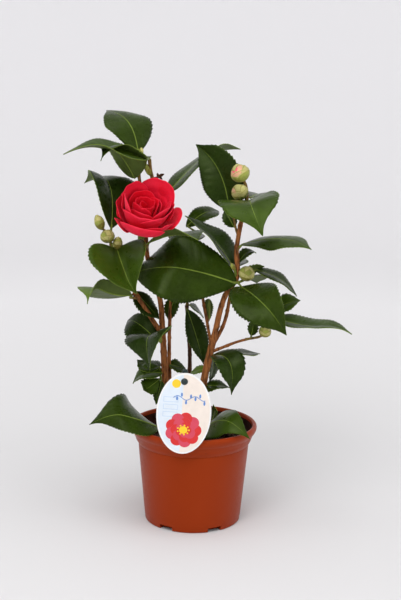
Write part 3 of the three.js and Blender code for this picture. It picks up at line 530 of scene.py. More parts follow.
def noise(tree, scale, detail=4, roughness=0.55, stretch=(1, 1, 1)):
    node = tree.nodes.new("ShaderNodeTexNoise")
    node.inputs["Scale"].default_value = scale
    node.inputs["Detail"].default_value = detail
    node.inputs["Roughness"].default_value = roughness
    tree.links.new(coordinates(tree, stretch), node.inputs["Vector"])
    return node.outputs["Fac"]


def paint(material, value, stops):
    """Colours the material by a value: stops are (position, colour)."""
    tree = material.node_tree
    node = tree.nodes.new("ShaderNodeValToRGB")
    while len(node.color_ramp.elements) < len(stops):
        node.color_ramp.elements.new(0.5)
    for element, (position, color) in zip(node.color_ramp.elements, stops):
        element.position = position
        element.color = (*color, 1)
    tree.links.new(value, node.inputs["Fac"])
    tree.links.new(node.outputs["Color"], tree.nodes["Principled BSDF"].inputs["Base Color"])


def roughen(material, value, low, high):
    """Maps the middle of a noise to a roughness from low to high."""
    tree = material.node_tree
    node = tree.nodes.new("ShaderNodeMapRange")
    for socket, number in (("From Min", 0.3), ("From Max", 0.7), ("To Min", low), ("To Max", high)):
        node.inputs[socket].default_value = number
    tree.links.new(value, node.inputs["Value"])
    tree.links.new(node.outputs["Result"], tree.nodes["Principled BSDF"].inputs["Roughness"])


def bump(material, value, height):
    """Relief of that height in millimetres."""
    tree = material.node_tree
    node = tree.nodes.new("ShaderNodeBump")
    node.inputs["Strength"].default_value = 1
    node.inputs["Distance"].default_value = height * MM
    tree.links.new(value, node.inputs["Height"])
    tree.links.new(node.outputs["Normal"], tree.nodes["Principled BSDF"].inputs["Normal"])


def scaled(color, k):
    return tuple(c * k for c in color)


# The waxy skin throws back a dull green when seen face on and white when seen edge on.
LEAF_GLOSS = (0.22, 0.27, 0.13, 1)


def leaf_material(name, color, roughness, blotch=0.2):
    material = principled(name, color, roughness, Specular_IOR_Level=0.5, Specular_Tint=LEAF_GLOSS)
    tree = material.node_tree
    low, high = scaled(color, 1 - blotch), scaled(color, 1 + blotch)
    paint(material, noise(tree, 48, 3), [(0.32, low), (0.68, high)])
    roughen(material, noise(tree, 150, 4), roughness - 0.05, roughness + 0.09)
    bump(material, noise(tree, 850, 3), 0.1)
    return material


def bark_material(name, dark, light):
    material = principled(name, light, 0.72, Specular_IOR_Level=0.15)
    streaks = noise(material.node_tree, 420, 6, 0.65, (1, 1, 0.18))
    paint(material, streaks, [(0.36, dark), (0.5, light), (0.66, scaled(light, 1.6))])
    bump(material, noise(material.node_tree, 900, 6, 0.7, (1, 1, 0.3)), 0.3)
    return material


def petal_material(name, color, bright):
    sheen = dict(Sheen_Weight=0.12, Sheen_Roughness=0.35, Sheen_Tint=(1, 0.35, 0.5, 1))
    material = principled(name, color, 0.5, Specular_IOR_Level=0.12, **sheen)
    paint(material, noise(material.node_tree, 75, 5, 0.6), [(0.3, color), (0.72, bright)])
    bump(material, noise(material.node_tree, 420, 4), 0.12)
    return material


# One leaf green with a darker copy as painted shade and a lighter copy as painted light, and a paler young
# green.
LEAF_TOPS = {
    "d": leaf_material("leaf_deep", (0.014, 0.028, 0.003), 0.27),
    "m": leaf_material("leaf_mid", (0.022, 0.041, 0.003), 0.27),
    "f": leaf_material("leaf_fresh", (0.032, 0.06, 0.004), 0.3),
    "y": leaf_material("leaf_young", (0.08, 0.13, 0.012), 0.4),
}
LEAF_UNDER = leaf_material("leaf_underside", (0.075, 0.11, 0.022), 0.5)
LEAF_RIB = leaf_material("leaf_rib", (0.17, 0.24, 0.035), 0.5)
LEAF_STALK = leaf_material("leaf_stalk", (0.14, 0.17, 0.03), 0.5)
BARK = bark_material("bark", (0.055, 0.017, 0.005), (0.25, 0.09, 0.026))
# A nearly black copy of the bark: painted shade for the stem in shadow.
BARK_PAINTED_SHADE = bark_material("bark_painted_shade", (0.02, 0.008, 0.004), (0.07, 0.028, 0.013))
TWIG = bark_material("twig_bark", (0.08, 0.05, 0.015), (0.19, 0.12, 0.035))
BUD_SKINS = [
    leaf_material("bud_green", (0.28, 0.31, 0.065), 0.42, 0.35),
    leaf_material("bud_pale", (0.43, 0.4, 0.15), 0.45, 0.3),
    leaf_material("bud_low", (0.2, 0.18, 0.035), 0.5, 0.35),
    leaf_material("bud_blush", (0.6, 0.33, 0.2), 0.5, 0.25),
    leaf_material("bud_pink", (0.68, 0.08, 0.15), 0.5, 0.3),
    leaf_material("bud_edge", (0.27, 0.25, 0.07), 0.5, 0.3),
]
GREEN, PALE, LOW, BLUSH, PINK, EDGE = range(6)
PETAL = petal_material("petal", (0.67, 0.006, 0.024), (0.75, 0.013, 0.042))
PETAL_OUTER = petal_material("petal_outer", (0.82, 0.013, 0.04), (0.9, 0.03, 0.075))
# The heart's deep red, raised above the other petals' as painted light: it stands in for light that passes
# through the petals into the shaded heart.
PETAL_INNER_PAINTED_LIGHT = petal_material("petal_inner_painted_light", (0.8, 0.004, 0.018), (0.88, 0.01, 0.034))
SEPAL_DRY = leaf_material("sepal_dry", (0.05, 0.02, 0.012), 0.7)


# Limbs.
def limb_path(points, step):
    return evenly(catmull(points), step)


def bark_relief(s, sides, seed, depth):
    """Ridges along the bark, raised rings where leaves once sat, and small warts."""
    rng = np.random.default_rng(seed)
    a = np.linspace(0, 2 * math.pi, sides, endpoint=False)[None]
    s = s[:, None]
    relief = np.zeros((len(s), sides))
    for k, size in ((2, 0.5), (3, 0.45), (5, 0.4), (7, 0.35), (9, 0.25)):
        drift = rng.uniform(-0.25, 0.25)
        phase = rng.uniform(0, 2 * math.pi)
        relief += size * np.sin(k * a + drift * s + phase) * (0.6 + 0.4 * np.sin(0.11 * k * s + phase))
    ring = rng.uniform(6, 14)
    while ring < s[-1, 0]:
        facing = rng.uniform(0, 2 * math.pi)
        near = np.exp(-(((s - ring) / 1.4) ** 2))
        relief += near * (1.1 + 1.6 * np.cos(a - facing).clip(0))
        ring += rng.uniform(11, 26)
    relief += rng.normal(0, 0.22, relief.shape)
    return relief * depth


def make_limbs():
    skin = Skin()
    for seed, (name, (r0, r1, flare, points)) in enumerate(LIMBS.items()):
        path, s = limb_path(points, 1.1)
        collar = 0 if flare else 0.9
        radii = r0 + (r1 - r0) * s / s[-1] + flare * np.exp(-s / 9) + collar * np.exp(-s / 3.5)
        # The shaded stem takes the painted-shade bark.
        skin.bar(path, radii, 22, bark_relief(s, 22, seed, 0.22), int(name in SHADED_LIMBS))
    skin.piece("woody_stems", [BARK, BARK_PAINTED_SHADE], "bark", list(LIMBS))


# Blades.
def outline(t, wide, full, tip):
    """Half-width along the blade, as a share of the widest."""
    w = np.maximum(0, np.sin(math.pi * t ** (math.log(0.5) / math.log(wide)))) ** full
    return w * (1 - tip * smooth(0.78, 1, t))


def blade_frame(bearing, rise, roll):
    """Side, length and upper-face directions of a blade."""
    a, e, r = (math.radians(v) for v in (bearing, rise, roll))
    along = np.array([math.cos(e) * math.cos(a), math.cos(e) * math.sin(a), math.sin(e)])
    level = np.array([math.sin(a), -math.cos(a), 0])
    up = np.cross(level, along)
    return level * math.cos(r) - up * math.sin(r), along, up * math.cos(r) + level * math.sin(r)


def blade_grid(row, t, u, extra=0, half_gain=1):
    """Where a blade's points lie: t along it, u across it, extra off its mid-surface. The frame's own rule.

    arch lifts the middle of the blade and curl drops its tip, as shares of the length. bow bends it sideways.
    left and right fold its halves up and twist turns it, in degrees. wide says where it is widest, skew how
    much broader its right half is, full how blunt its ends are and tip how drawn out its point is.
    """
    x, y, z, length, bearing, rise, roll, width = row[:8]
    arch, curl, bow, left, right, twist, wide, skew, full, tip = row[8:] or USUAL_SHAPE
    side, along, up = blade_frame(bearing, rise, roll)

    def middle(t):
        hump = 4 * t * (1 - t)
        drop = np.maximum(0, (t - 0.6) / 0.4) ** 2
        return (
            np.array([x, y, z])
            + (length * t)[..., None] * along
            + (length * (arch * hump - curl * drop))[..., None] * up
            + (length * bow * hump)[..., None] * side
        )

    t, u = np.broadcast_arrays(np.asarray(t, float), np.asarray(u, float))
    tangent = unit(middle(np.minimum(t + 1e-3, 1)) - middle(np.maximum(t - 1e-3, 0)))
    across = unit(side - tangent * (tangent @ side)[..., None])
    face = np.cross(across, tangent)
    turn = np.radians(twist * (t - 0.3))[..., None]
    across, face = across * np.cos(turn) - face * np.sin(turn), face * np.cos(turn) + across * np.sin(turn)
    half = np.maximum(0.35, width / 2 * outline(t, wide, full, tip) * (1 + skew * np.sign(u)) * half_gain)
    fold = np.radians(np.where(u > 0, right, left))
    lift = half * (np.abs(u) * np.sin(fold) - CUP * u * u) + extra
    return middle(t) + across * (half * u * np.cos(fold))[..., None] + face * lift[..., None]


def leaf(skin, ribs, row, seed):
    """A leathery toothed blade with sunken side veins, and its rib."""
    rng = np.random.default_rng(seed)
    length, width = row[3], row[7]
    rows = max(24, round(length / 0.62))
    cols = 12 if width > 30 else 8
    t, u = np.meshgrid(np.linspace(0, 1, rows + 1), np.linspace(-1, 1, cols + 1), indexing="ij")
    u = np.sign(u) * np.abs(u) ** 0.85
    near_edge = smooth(0.78, 1, np.abs(u))
    saw = (t * length / TOOTH_STEP + rng.uniform(0, 1)) % 1
    toothed = smooth(0.08, 0.2, t) * (1 - smooth(0.93, 0.97, t))
    gain = 1 + near_edge * toothed * (saw - 0.5) * 2 * TOOTH_DEPTH / width
    veins = max(4, round(length / VEIN_STEP))
    side_vein = np.abs(np.sin(math.pi * (t * veins - 1.2 * np.abs(u) ** 0.8))) ** 0.7
    quilt = VEIN_RELIEF * side_vein * np.sin(math.pi * np.abs(u).clip(0, 1)) * np.sin(math.pi * t)
    phases = np.where(u > 0, *rng.uniform(0, 2 * math.pi, 2))
    swell = 0.028 * width * np.abs(u) ** 2.5 * np.sin(2 * math.pi * 1.6 * t + phases) * np.sin(math.pi * t)
    groove = -0.4 * np.exp(-((u * width / 2 / 1.7) ** 2))
    skin.sheet(blade_grid(row, t, u, quilt + swell + groove, gain), LEAF_THICK, 0, 1, 2)
    s = np.linspace(0, 0.97, max(12, rows // 2))
    ribs.bar(blade_grid(row, s, np.zeros_like(s), -0.36), (0.5 + 0.006 * width) * (1 - 0.72 * s), 8)


def nearest(p, paths):
    """The nearest point of the paths, and the direction of its path there."""
    best = None
    for path in paths:
        gaps = np.linalg.norm(path - p, axis=1)
        k = int(np.argmin(gaps))
        if best is None or gaps[k] < best[0]:
            j = min(max(k, 1), len(path) - 2)
            best = (gaps[k], path[k], unit(path[j + 1] - path[j - 1]))
    return best[1], best[2]


def stalk(skin, start, start_way, end, end_way, radii):
    """A short bent bar from one place and direction to another."""
    reach = np.linalg.norm(end - start)
    s = np.linspace(0, 1, max(8, round(reach / 1.2)))[:, None]
    a, b = start_way * reach, end_way * reach
    path = start + a * s + (3 * (end - start) - 2 * a - b) * s**2 + (2 * (start - end) + a + b) * s**3
    r0, r1 = radii
    skin.bar(path, r0 + (r1 - r0) * s[:, 0] + 0.35 * np.exp(-s[:, 0] * reach / 2))


# Buds.
def bud(skin, row, seed, tints, blush):
    """Round scales that lie close over one another on an egg, blushed on the side that the sun reaches.

    tints are those of the low scales and of the others in turn. blush says how near the sunny side it starts.
    """
    x, y, z, radius, length, bearing, rise = row
    side, along, up = blade_frame(bearing, rise, 0)
    rng = np.random.default_rng(seed)
    centre = np.array([x, y, z])

    def place(s, angle, lift):
        egg = np.maximum(0, np.sin(math.pi * np.clip(s, 0.001, 0.999) ** 0.88)) ** 0.6
        across = 0.94 * radius * egg + lift
        ring = np.cos(angle)[..., None] * side + np.sin(angle)[..., None] * up
        return centre + along * ((s - 0.5) * length)[..., None] + ring * across[..., None]

    s = np.linspace(0.002, 0.998, 25)[:, None]
    angle = np.linspace(0, 2 * math.pi, 24, endpoint=False)[None]
    s, angle = np.broadcast_arrays(s, angle)
    core = place(s, angle, np.full(s.shape, -0.3))
    skin.add(core, (grid_faces(24, 24, closed=True)[:, ::-1], tints[-1]))
    scales = 11 if radius > 4 else 5
    for k in range(scales):
        rank = k / (scales - 1)
        top = 0.36 + 0.6 * rank**0.8 + rng.uniform(-0.02, 0.02)
        middle = GOLDEN_ANGLE * k + rng.uniform(-0.15, 0.15)
        v, u = np.meshgrid(np.linspace(0.02, 1, 21), np.linspace(-1, 1, 17), indexing="ij")
        s = top * v * (1 - 0.3 * np.abs(u) ** 2.4)
        wide = (1.3 - 0.3 * rank) * smooth(-0.2, 0.35, v)
        margin = np.maximum(v, np.abs(u))
        lift = (0.12 + 0.4 * (1 - rank) + 0.22 * smooth(0.8, 1, margin)) * radius / 10
        grid = place(s, middle - u * wide, lift)
        tint = tints[0] if rank < 0.3 else tints[1 + k % 2]
        sunny = unit(grid[1:, 1:] - centre) @ unit(np.array(SUNNY_SIDE))
        warm = np.where(sunny > blush[1], PINK, np.where(sunny > blush[0], BLUSH, tint))
        warm[-1] = EDGE
        skin.sheet(grid, 0.35, warm.ravel(), tint, EDGE)


def make_foliage():
    blades = {green: Skin() for green in LEAF_TOPS}
    ribs, stalks, twigs, buds = Skin(), Skin(), Skin(), Skin()
    seed = 100
    for name, mass in MASSES.items():
        paths = []
        for r0, r1, points in mass["twigs"]:
            path, s = limb_path(points, 1.0)
            paths.append(path)
            radii = r0 + (r1 - r0) * s / s[-1] + 0.5 * np.exp(-s / 3)
            twigs.bar(path, radii, 12, bark_relief(s, 12, seed, 0.1))
            seed += 1
        for row, green in zip(mass["leaves"], mass["greens"]):
            foot, way = nearest(np.array(row[:3], float), paths)
            _, along, _ = blade_frame(*row[4:7])
            end = blade_grid(row, np.array([0.05]), np.array([0.0]), -0.2)[0]
            out = unit(unit(end - foot) + 0.4 * way)
            stalk(stalks, foot, out * 0.8, end, along, STALK_RADII)
            leaf(blades[green], ribs, row, seed)
            seed += 1
        blushed = name in BLUSHED_BUDS
        tints = (GREEN, PALE, PALE) if blushed else (LOW, GREEN, PALE)
        for k, row in enumerate(mass.get("buds", [])):
            centre = np.array(row[:3], float)
            foot, way = nearest(centre, paths)
            _, along, _ = blade_frame(row[5], row[6], 0)
            end = centre - along * row[4] * 0.42
            stalk(stalks, foot, unit(end - foot + way), end, along, BUD_STALK_RADII)
            bud(buds, row, seed, tints, BLUSHED_BUDS[name][k] if blushed else NO_BLUSH)
            seed += 1
    path, s = limb_path(SPENT_STUB, 0.8)
    twigs.bar(path, 0.9 + 0.5 * s / s[-1], 10, tint=1)
    t, u = np.meshgrid(np.linspace(0, 1, 13), np.linspace(-1, 1, 7), indexing="ij")
    for row in SPENT_SEPALS:
        twigs.sheet(blade_grid(row, t, u), 0.6, 1, 1, 1)
    masses = list(MASSES)
    for green, top in LEAF_TOPS.items():
        name = top.name.replace("leaf", "leaves")
        blades[green].piece(name, [top, LEAF_UNDER, LEAF_RIB], "foliage", masses)
    ribs.piece("leaf_ribs", [LEAF_RIB], "foliage", masses)
    stalks.piece("leaf_stalks", [LEAF_STALK], "foliage", masses)
    twigs.piece("twigs", [TWIG, SEPAL_DRY], "bark", masses)
    buds.piece("flower_buds", BUD_SKINS, "foliage", masses)


# The bloom.
def place_bloom(points):
    """Turns the upright bloom's Z to its bearing and rise by the shortest turn, and seats it."""
    axis = blade_frame(BLOOM_BEARING, BLOOM_RISE, 0)[1]
    hinge = unit(np.cross([0, 0, 1], axis))
    c, s = axis[2], math.sqrt(1 - axis[2] ** 2)
    turned = points * c + np.cross(hinge, points) * s + hinge * (points @ hinge)[..., None] * (1 - c)
    return turned + np.array(BLOOM_SEAT)


def petal(skin, row, tints, rng, thick=0.5):
    """A broad cupped petal: v runs from its foot to its rim, u across it."""
    bearing, radius, height, closing, half, lip, point = row
    rows, cols = 26, max(16, round(radius * half / 30))
    v, u = np.meshgrid(np.linspace(0.02, 1, rows + 1), np.linspace(-1, 1, cols + 1), indexing="ij")
    notch = rng.uniform(0, 0.06) * np.exp(-(((u - rng.uniform(-0.35, 0.35)) / 0.16) ** 2))
    s = v * (1 - 0.18 * np.abs(u) ** 3 - point * np.abs(u) - notch)
    a = math.radians(closing) * s**0.8
    theta = np.radians(bearing + u * half * (0.6 + 0.4 * smooth(0, 0.5, v)))
    wave = sum(rng.uniform(0.3, 0.8) / k * np.sin(k * u * half / 15 + rng.uniform(0, 6.3)) for k in (1, 2, 3))
    fine = sum(0.04 * np.sin(k * u * half + rng.uniform(0, 6.3)) for k in (0.9, 1.7))
    rim = smooth(0.72, 1, v)
    rho = 3 + radius * np.sin(a) * (1 + 0.06 * u) + wave * smooth(0.2, 1, v) + lip * rim**2 + fine * v
    climb = (1 - np.cos(a)) / (1 - math.cos(math.radians(closing)))
    rise = 2 + height * climb + (0.6 * wave - 0.35 * lip) * rim**2
    grid = np.stack([rho * np.cos(theta), rho * np.sin(theta), rise], axis=-1)
    skin.sheet(place_bloom(grid), thick, *tints)


def make_bloom():
    skin = Skin()
    rng = np.random.default_rng(7)
    for row in OUTER_PETALS:
        petal(skin, row, (1, 0, 1), rng)
    for row in INNER_PETALS:
        petal(skin, row, (0, 2, 0), rng)
    for row in SEPALS:
        petal(skin, row, (3, 3, 3), rng, 0.8)
    path, s = limb_path(BLOOM_STALK, 1.0)
    skin.bar(path, 1.9 + 1.6 * (s / s[-1]) ** 3, 12, bark_relief(s, 12, 5, 0.1), 4)
    skin.piece("bloom_petals", [PETAL, PETAL_OUTER, PETAL_INNER_PAINTED_LIGHT, SEPAL_DRY, LEAF_STALK], "petals", ["bloom"])


# The pot. Its plastic throws back its own red-brown when seen face on.
POT_GLOSS = (1, 0.5, 0.22, 1)


def pot_profile():
    """Outside from the centre of the foot up, over the rim, and down the inside."""
    def bend(points, per_span):
        return [(r, z) for r, z, _ in catmull([(r, z, 0) for r, z in points], per_span)]

    foot, top, collar, rim = FOOT_RADIUS, WALL_TOP_RADIUS, COLLAR_RADIUS, RIM_RADIUS
    low, high, edge = COLLAR_FOOT, RIM_HEIGHT, 1.2
    sole = [(0, 0), (foot - 1.4, 0), *bend([(foot - 1, 0.05), (foot - 0.3, 0.35), (foot, edge)], 3)]
    wall = [(foot + (top - foot) * k / 8, edge + (low - 3.2) * k / 8) for k in range(1, 8)]
    upper = bend([
        (top - 0.2, low - 1.5), (top - 0.5, low + 0.1), (top + 0.4, low + 0.4), (top + 0.9, low + 1.2),
        (top + 2.5, low + 4), (top + 3.5, low + 6.8),
        (collar - 0.5, high - 12.5), (collar + 0.5, high - 10.3), (collar + 1.9, high - 8.4),
        (rim - 0.6, high - 6.2), (rim, high - 3.5), (rim - 0.8, high - 1.1),
        (rim - 2.6, high), (rim - 4.4, high - 0.7),
        (collar - WALL + 0.5, high - 3), (collar - WALL, high - 7.5), (collar - WALL - 0.6, high - 12.5),
        (top + 2.6 - WALL, low + 5), (top - WALL, low),
    ], 4)
    return [*sole, *wall, *upper, (foot + 0.2 - WALL, FLOOR), (0, FLOOR)]


def applied(obj):
    """The object's mesh with its modifiers applied, and the modifiers gone."""
    bpy.context.view_layer.update()
    mesh = bpy.data.meshes.new_from_object(obj.evaluated_get(bpy.context.evaluated_depsgraph_get()))
    obj.modifiers.clear()
    obj.data = mesh


def make_pot():
    gloss = dict(Specular_IOR_Level=0.25, Specular_Tint=POT_GLOSS)
    plastic = principled("pot_plastic", (0.27, 0.028, 0.003), 0.34, **gloss)
    tree = plastic.node_tree
    reds = [(0.3, (0.265, 0.026, 0.003)), (0.7, (0.29, 0.031, 0.005))]
    paint(plastic, noise(tree, 14, 3, 0.5, (1, 1, 0.4)), reds)
    roughen(plastic, noise(tree, 240, 4), 0.34, 0.46)
    bump(plastic, noise(tree, 1400, 2), 0.05)
    # The inside of the pot: the same plastic painted far darker and mottled, as painted shade inside the pot.
    inside_shade = principled("pot_plastic_painted_shade", (0.03, 0.007, 0.003), 0.6, Specular_IOR_Level=0.1)
    tree = inside_shade.node_tree
    paint(inside_shade, noise(tree, 90, 6, 0.7), [(0.35, (0.014, 0.006, 0.003)), (0.65, (0.05, 0.009, 0.003))])
    bump(inside_shade, noise(tree, 500, 5, 0.7), 0.2)
    profile = pot_profile()
    middle, within = len(profile) // 2 + 1, COLLAR_RADIUS - WALL + 0.4
    inside = next(i for i, (r, z) in enumerate(profile) if i >= middle and r < within)
    shaded_rows = np.arange(len(profile) - 3) >= inside - 1
    skin = Skin()
    skin.turned(profile, POT_SIDES, np.repeat(shaded_rows, POT_SIDES).astype(int))
    pot = skin.piece("nursery_pot", [plastic, inside_shade], "pot_plastic", ["pot"])
    for i in range(NOTCHES):
        turn = math.radians(NOTCH_TURN + 360 / NOTCHES * (i + 0.5))
        bpy.ops.mesh.primitive_cube_add(size=1)
        cutter = bpy.context.object
        cutter.scale = (NOTCH_WIDTH * MM, (NOTCH_DEPTH + 6) * MM, 2 * NOTCH_HEIGHT * MM)
        away = (FOOT_RADIUS - NOTCH_DEPTH / 2 + 3) * MM
        cutter.location = (away * math.sin(turn), -away * math.cos(turn), 0)
        cutter.rotation_euler = (0, 0, turn)
        cut = pot.modifiers.new("notch", "BOOLEAN")
        cut.object = cutter
        cut.solver = "EXACT"
        applied(pot)
        bpy.data.objects.remove(cutter)
    pot.data.set_sharp_from_angle(angle=math.radians(40))


# The potting mix: a rough bed of bark crumbs.
def make_soil():
    mix = principled("potting_mix", (0.02, 0.01, 0.007), 0.95, Specular_IOR_Level=0.05)
    paint(mix, noise(mix.node_tree, 260, 6, 0.7), [(0.3, (0.008, 0.004, 0.003)), (0.7, (0.03, 0.014, 0.009))])
    bump(mix, noise(mix.node_tree, 700, 6, 0.7), 0.6)
    chip = bark_material("bark_chip", (0.016, 0.007, 0.004), (0.05, 0.021, 0.012))
    pale = bark_material("bark_chip_pale", (0.06, 0.028, 0.014), (0.14, 0.06, 0.028))
    rng = np.random.default_rng(11)
    skin = Skin()
    edge = COLLAR_RADIUS - WALL - 1.2
    bottom = SOIL_TOP - 4
    rings, sides = 44, 150
    r = np.linspace(0, edge, rings + 1)[1:, None]
    a = np.linspace(0, 2 * math.pi, sides, endpoint=False)[None]
    waves = [(1.0, 0.11, 1, 2), (0.7, 0.31, 3, 1), (0.45, 0.8, 5, 4), (0.3, 1.7, 2, 6)]
    bumps = sum(k * np.sin(f * r * np.cos(a) + p) * np.sin(f * r * np.sin(a) + q) for k, f, p, q in waves)
    z = SOIL_TOP - 0.8 + bumps + rng.normal(0, 0.25, bumps.shape) - 2.0 * smooth(0.85, 1, r / edge)
    top = np.stack([r * np.cos(a), r * np.sin(a), z], axis=-1)
    below = edge * 0.96
    under = np.stack([np.cos(a[0]) * below, np.sin(a[0]) * below, np.full(sides, bottom)], axis=-1)
    points = np.concatenate([top.reshape(-1, 3), under, [[0, 0, SOIL_TOP - 0.5], [0, 0, bottom]]])
    ring = rings * sides + np.arange(sides)
    following = np.roll(ring, -1)
    skin.add(
        points,
        (grid_faces(rings - 1, sides, closed=True)[:, ::-1], 0),
        (fan(rings * sides + sides, np.arange(sides))[:, [0, 2, 1]], 0),
        (np.stack([ring, following, following - sides, ring - sides], axis=-1), 0),
        (fan(rings * sides + sides + 1, ring), 0),
    )
    corners = np.array([(x, y, z) for x in (-1, 1) for y in (-1, 1) for z in (-1, 1)], float)
    box = np.array([(0, 1, 3, 2), (4, 6, 7, 5), (0, 4, 5, 1), (2, 3, 7, 6), (0, 2, 6, 4), (1, 5, 7, 3)])
    for _ in range(CRUMBS):
        size = rng.uniform(0.7, 2.2) * (1 if rng.random() < 0.85 else 1.9)
        sizes = np.array([1, rng.uniform(0.4, 0.9), rng.uniform(0.2, 0.5)])
        shape = corners * sizes + rng.normal(0, 0.16, (8, 3))
        spin, tilt, lean = rng.uniform(0, 2 * math.pi), rng.uniform(-0.5, 0.5), rng.uniform(-0.5, 0.5)
        c, s = math.cos(spin), math.sin(spin)
        turn = np.array([[c, -s, 0], [s, c, 0], [tilt, lean, 1]])
        away = (edge - 3) * math.sqrt(rng.random())
        at = rng.uniform(0, 2 * math.pi)
        spot = [away * math.cos(at), away * math.sin(at), SOIL_TOP - 0.6 + rng.uniform(-0.6, 1.2)]
        tint = 2 if rng.random() < 0.06 else 1 if rng.random() < 0.6 else 0
        skin.add(size * shape @ turn.T + spot, (box, tint))
    skin.piece("potting_mix", [mix, chip, pale], "potting_mix", ["soil"], 30)


# The label: an oval card with a plain rosette, on its stake.
CARD_INKS = {
    "white": (0.86, 0.86, 0.85),
    "cream": (0.85, 0.76, 0.68),
    "pale_blue": (0.72, 0.8, 0.88),
    "line": (0.5, 0.64, 0.82),
    "red": (0.66, 0.018, 0.018),
    "rose": (0.66, 0.055, 0.1),
    "yellow": (0.93, 0.62, 0.015),
    "blue": (0.12, 0.26, 0.6),
}
WHITE, CREAM, PALE_BLUE, LINE, RED, ROSE, YELLOW, BLUE = range(8)


def card_ink(name, color):
    material = principled("card_" + name, color, 0.35)
    roughen(material, noise(material.node_tree, 300, 3), 0.3, 0.42)
    shades = [(0.3, scaled(color, 0.96)), (0.7, scaled(color, 1.03))]
    paint(material, noise(material.node_tree, 120, 2), shades)
    return material


def card_point(x, z, front):
    """A place on the leaning card, so far in front of its middle."""
    lean = math.radians(TAG["lean"])
    across, up = x * math.cos(lean) - z * math.sin(lean), z * math.cos(lean) + x * math.sin(lean)
    return TAG["x"] + across, TAG["y"] - front, TAG["z"] + up


def plate(skin, shape, back, front, tint):
    """A flat closed plate: its outline runs anticlockwise as seen from the front."""
    points = [card_point(x, z, y) for y in (front, back) for x, z in shape]
    k = np.arange(len(shape))
    following = np.roll(k, -1)
    side = np.stack([k, k + len(k), following + len(k), following], axis=-1)
    skin.add(points, (k[None], tint), ((k[::-1] + len(k))[None], tint), (side, tint))


def oval(x, z, a, b, n):
    turns = [2 * math.pi * i / n for i in range(n)]
    return [(x + a * math.cos(t), z + b * math.sin(t)) for t in turns]


def make_card():
    skin = Skin()
    half, tall, face = TAG["width"] / 2, TAG["height"] / 2, TAG["thick"] / 2
    plate(skin, oval(0, 0, half, tall, 128), -face, face, WHITE)

    def field(start, end, tint):
        edge = [((half - 1.6) * math.cos(t), (tall - 1.8) * math.sin(t)) for t in np.linspace(start, end, 64)]
        plate(skin, edge, face - 0.1, face + 0.06, tint)

    quarter, past = math.pi / 2, 0.08
    field(-quarter - past, quarter + past, CREAM)
    field(quarter + past, 3 * quarter - past, PALE_BLUE)
    left, wide, high, line = -22, 15, 5, 0.5
    for low in (-4, 4, 12):
        sides = [(left, low, wide, line), (left, low + high, wide, line)]
        sides += [(left, low, line, high), (left + wide, low, line, high)]
        for x, z, w, h in sides:
            plate(skin, [(x, z), (x + w, z), (x + w, z + h), (x, z + h)], face, face + 0.1, LINE)
    sprig = [(-12 + 1.6 * k, 17 + 2.2 * math.sin(0.55 * k)) for k in range(22)]
    upper = [(x, z + 0.45) for x, z in sprig]
    plate(skin, [(x, z - 0.45) for x, z in sprig] + upper[::-1], face, face + 0.12, BLUE)
    for k in range(2, 21, 3):
        x, z = sprig[k]
        side = 1 if k % 2 else -1
        plate(skin, oval(x + 0.8, z + side * 2.6, 1.1, 2.2, 20), face, face + 0.12, BLUE)
    flower_x, flower_z, reach = 0.5, -17.5, 19
    for ring, (count, out, size) in enumerate(((9, 0.66, 6.6), (7, 0.4, 5.8), (5, 0.2, 4.6))):
        for i in range(count):
            t = 2 * math.pi * (i + 0.5 * ring) / count
            x, z = flower_x + out * reach * math.cos(t), flower_z + out * reach * math.sin(t)
            front = face + 0.12 + 0.11 * ring + 0.012 * i
            plate(skin, oval(x, z, size, size, 36), face, front, (RED, ROSE)[(i + ring) % 2])
    plate(skin, oval(flower_x, flower_z, 4.4, 4.0, 36), face, face + 0.5, YELLOW)
    for x, z in oval(flower_x, flower_z, 6, 5, 9):
        plate(skin, oval(x, z, 0.9, 0.9, 16), face, face + 0.5, YELLOW)
    plate(skin, oval(-9.5, 32, 4.6, 4.6, 40), face, face + 0.12, YELLOW)
    skin.piece("label_card", [card_ink(*ink) for ink in CARD_INKS.items()], "label_card", ["label_tag"], 30)


def make_stake():
    """A flat bar with rounded corners that tapers to its foot, and the peg through the card's hole."""
    dark = principled("stake_plastic", (0.006, 0.024, 0.024), 0.4)
    bump(dark, noise(dark.node_tree, 900, 2), 0.05)
    paint(dark, noise(dark.node_tree, 60, 2), [(0.3, (0.005, 0.018, 0.018)), (0.7, (0.008, 0.026, 0.026))])
    stake = Skin()
    path, s = evenly(np.array([STAKE_FOOT, STAKE_HEAD]), 2)
    normals, binormals = transport(path)
    taper = np.minimum(smooth(0, 14, s), 0.55 + 0.45 * smooth(0, 2, s[-1] - s))
    angles = np.linspace(0, 2 * math.pi, 20, endpoint=False)
    flat = np.abs(np.cos(angles)) ** 0.6 * np.sign(np.cos(angles))
    thin = np.abs(np.sin(angles)) ** 0.6 * np.sign(np.sin(angles))
    ring = normals[:, None] * flat[:, None] * 3 + binormals[:, None] * thin[:, None]
    stake.tube(path[:, None] + ring * taper[:, None, None].clip(0.08), [STAKE_FOOT, STAKE_HEAD])
    peg = np.array([card_point(*TAG_HOLE, front) for front in (-5.5, 1.6)])
    path, s = evenly(peg, 0.5)
    stake.bar(path, TAG_HOLE_RADIUS * (1 - 0.25 * smooth(s[-1] - 0.8, s[-1], s)), 32)
    stake.piece("label_stake_dark", [dark], "stake_plastic", ["label_stake"], 40)


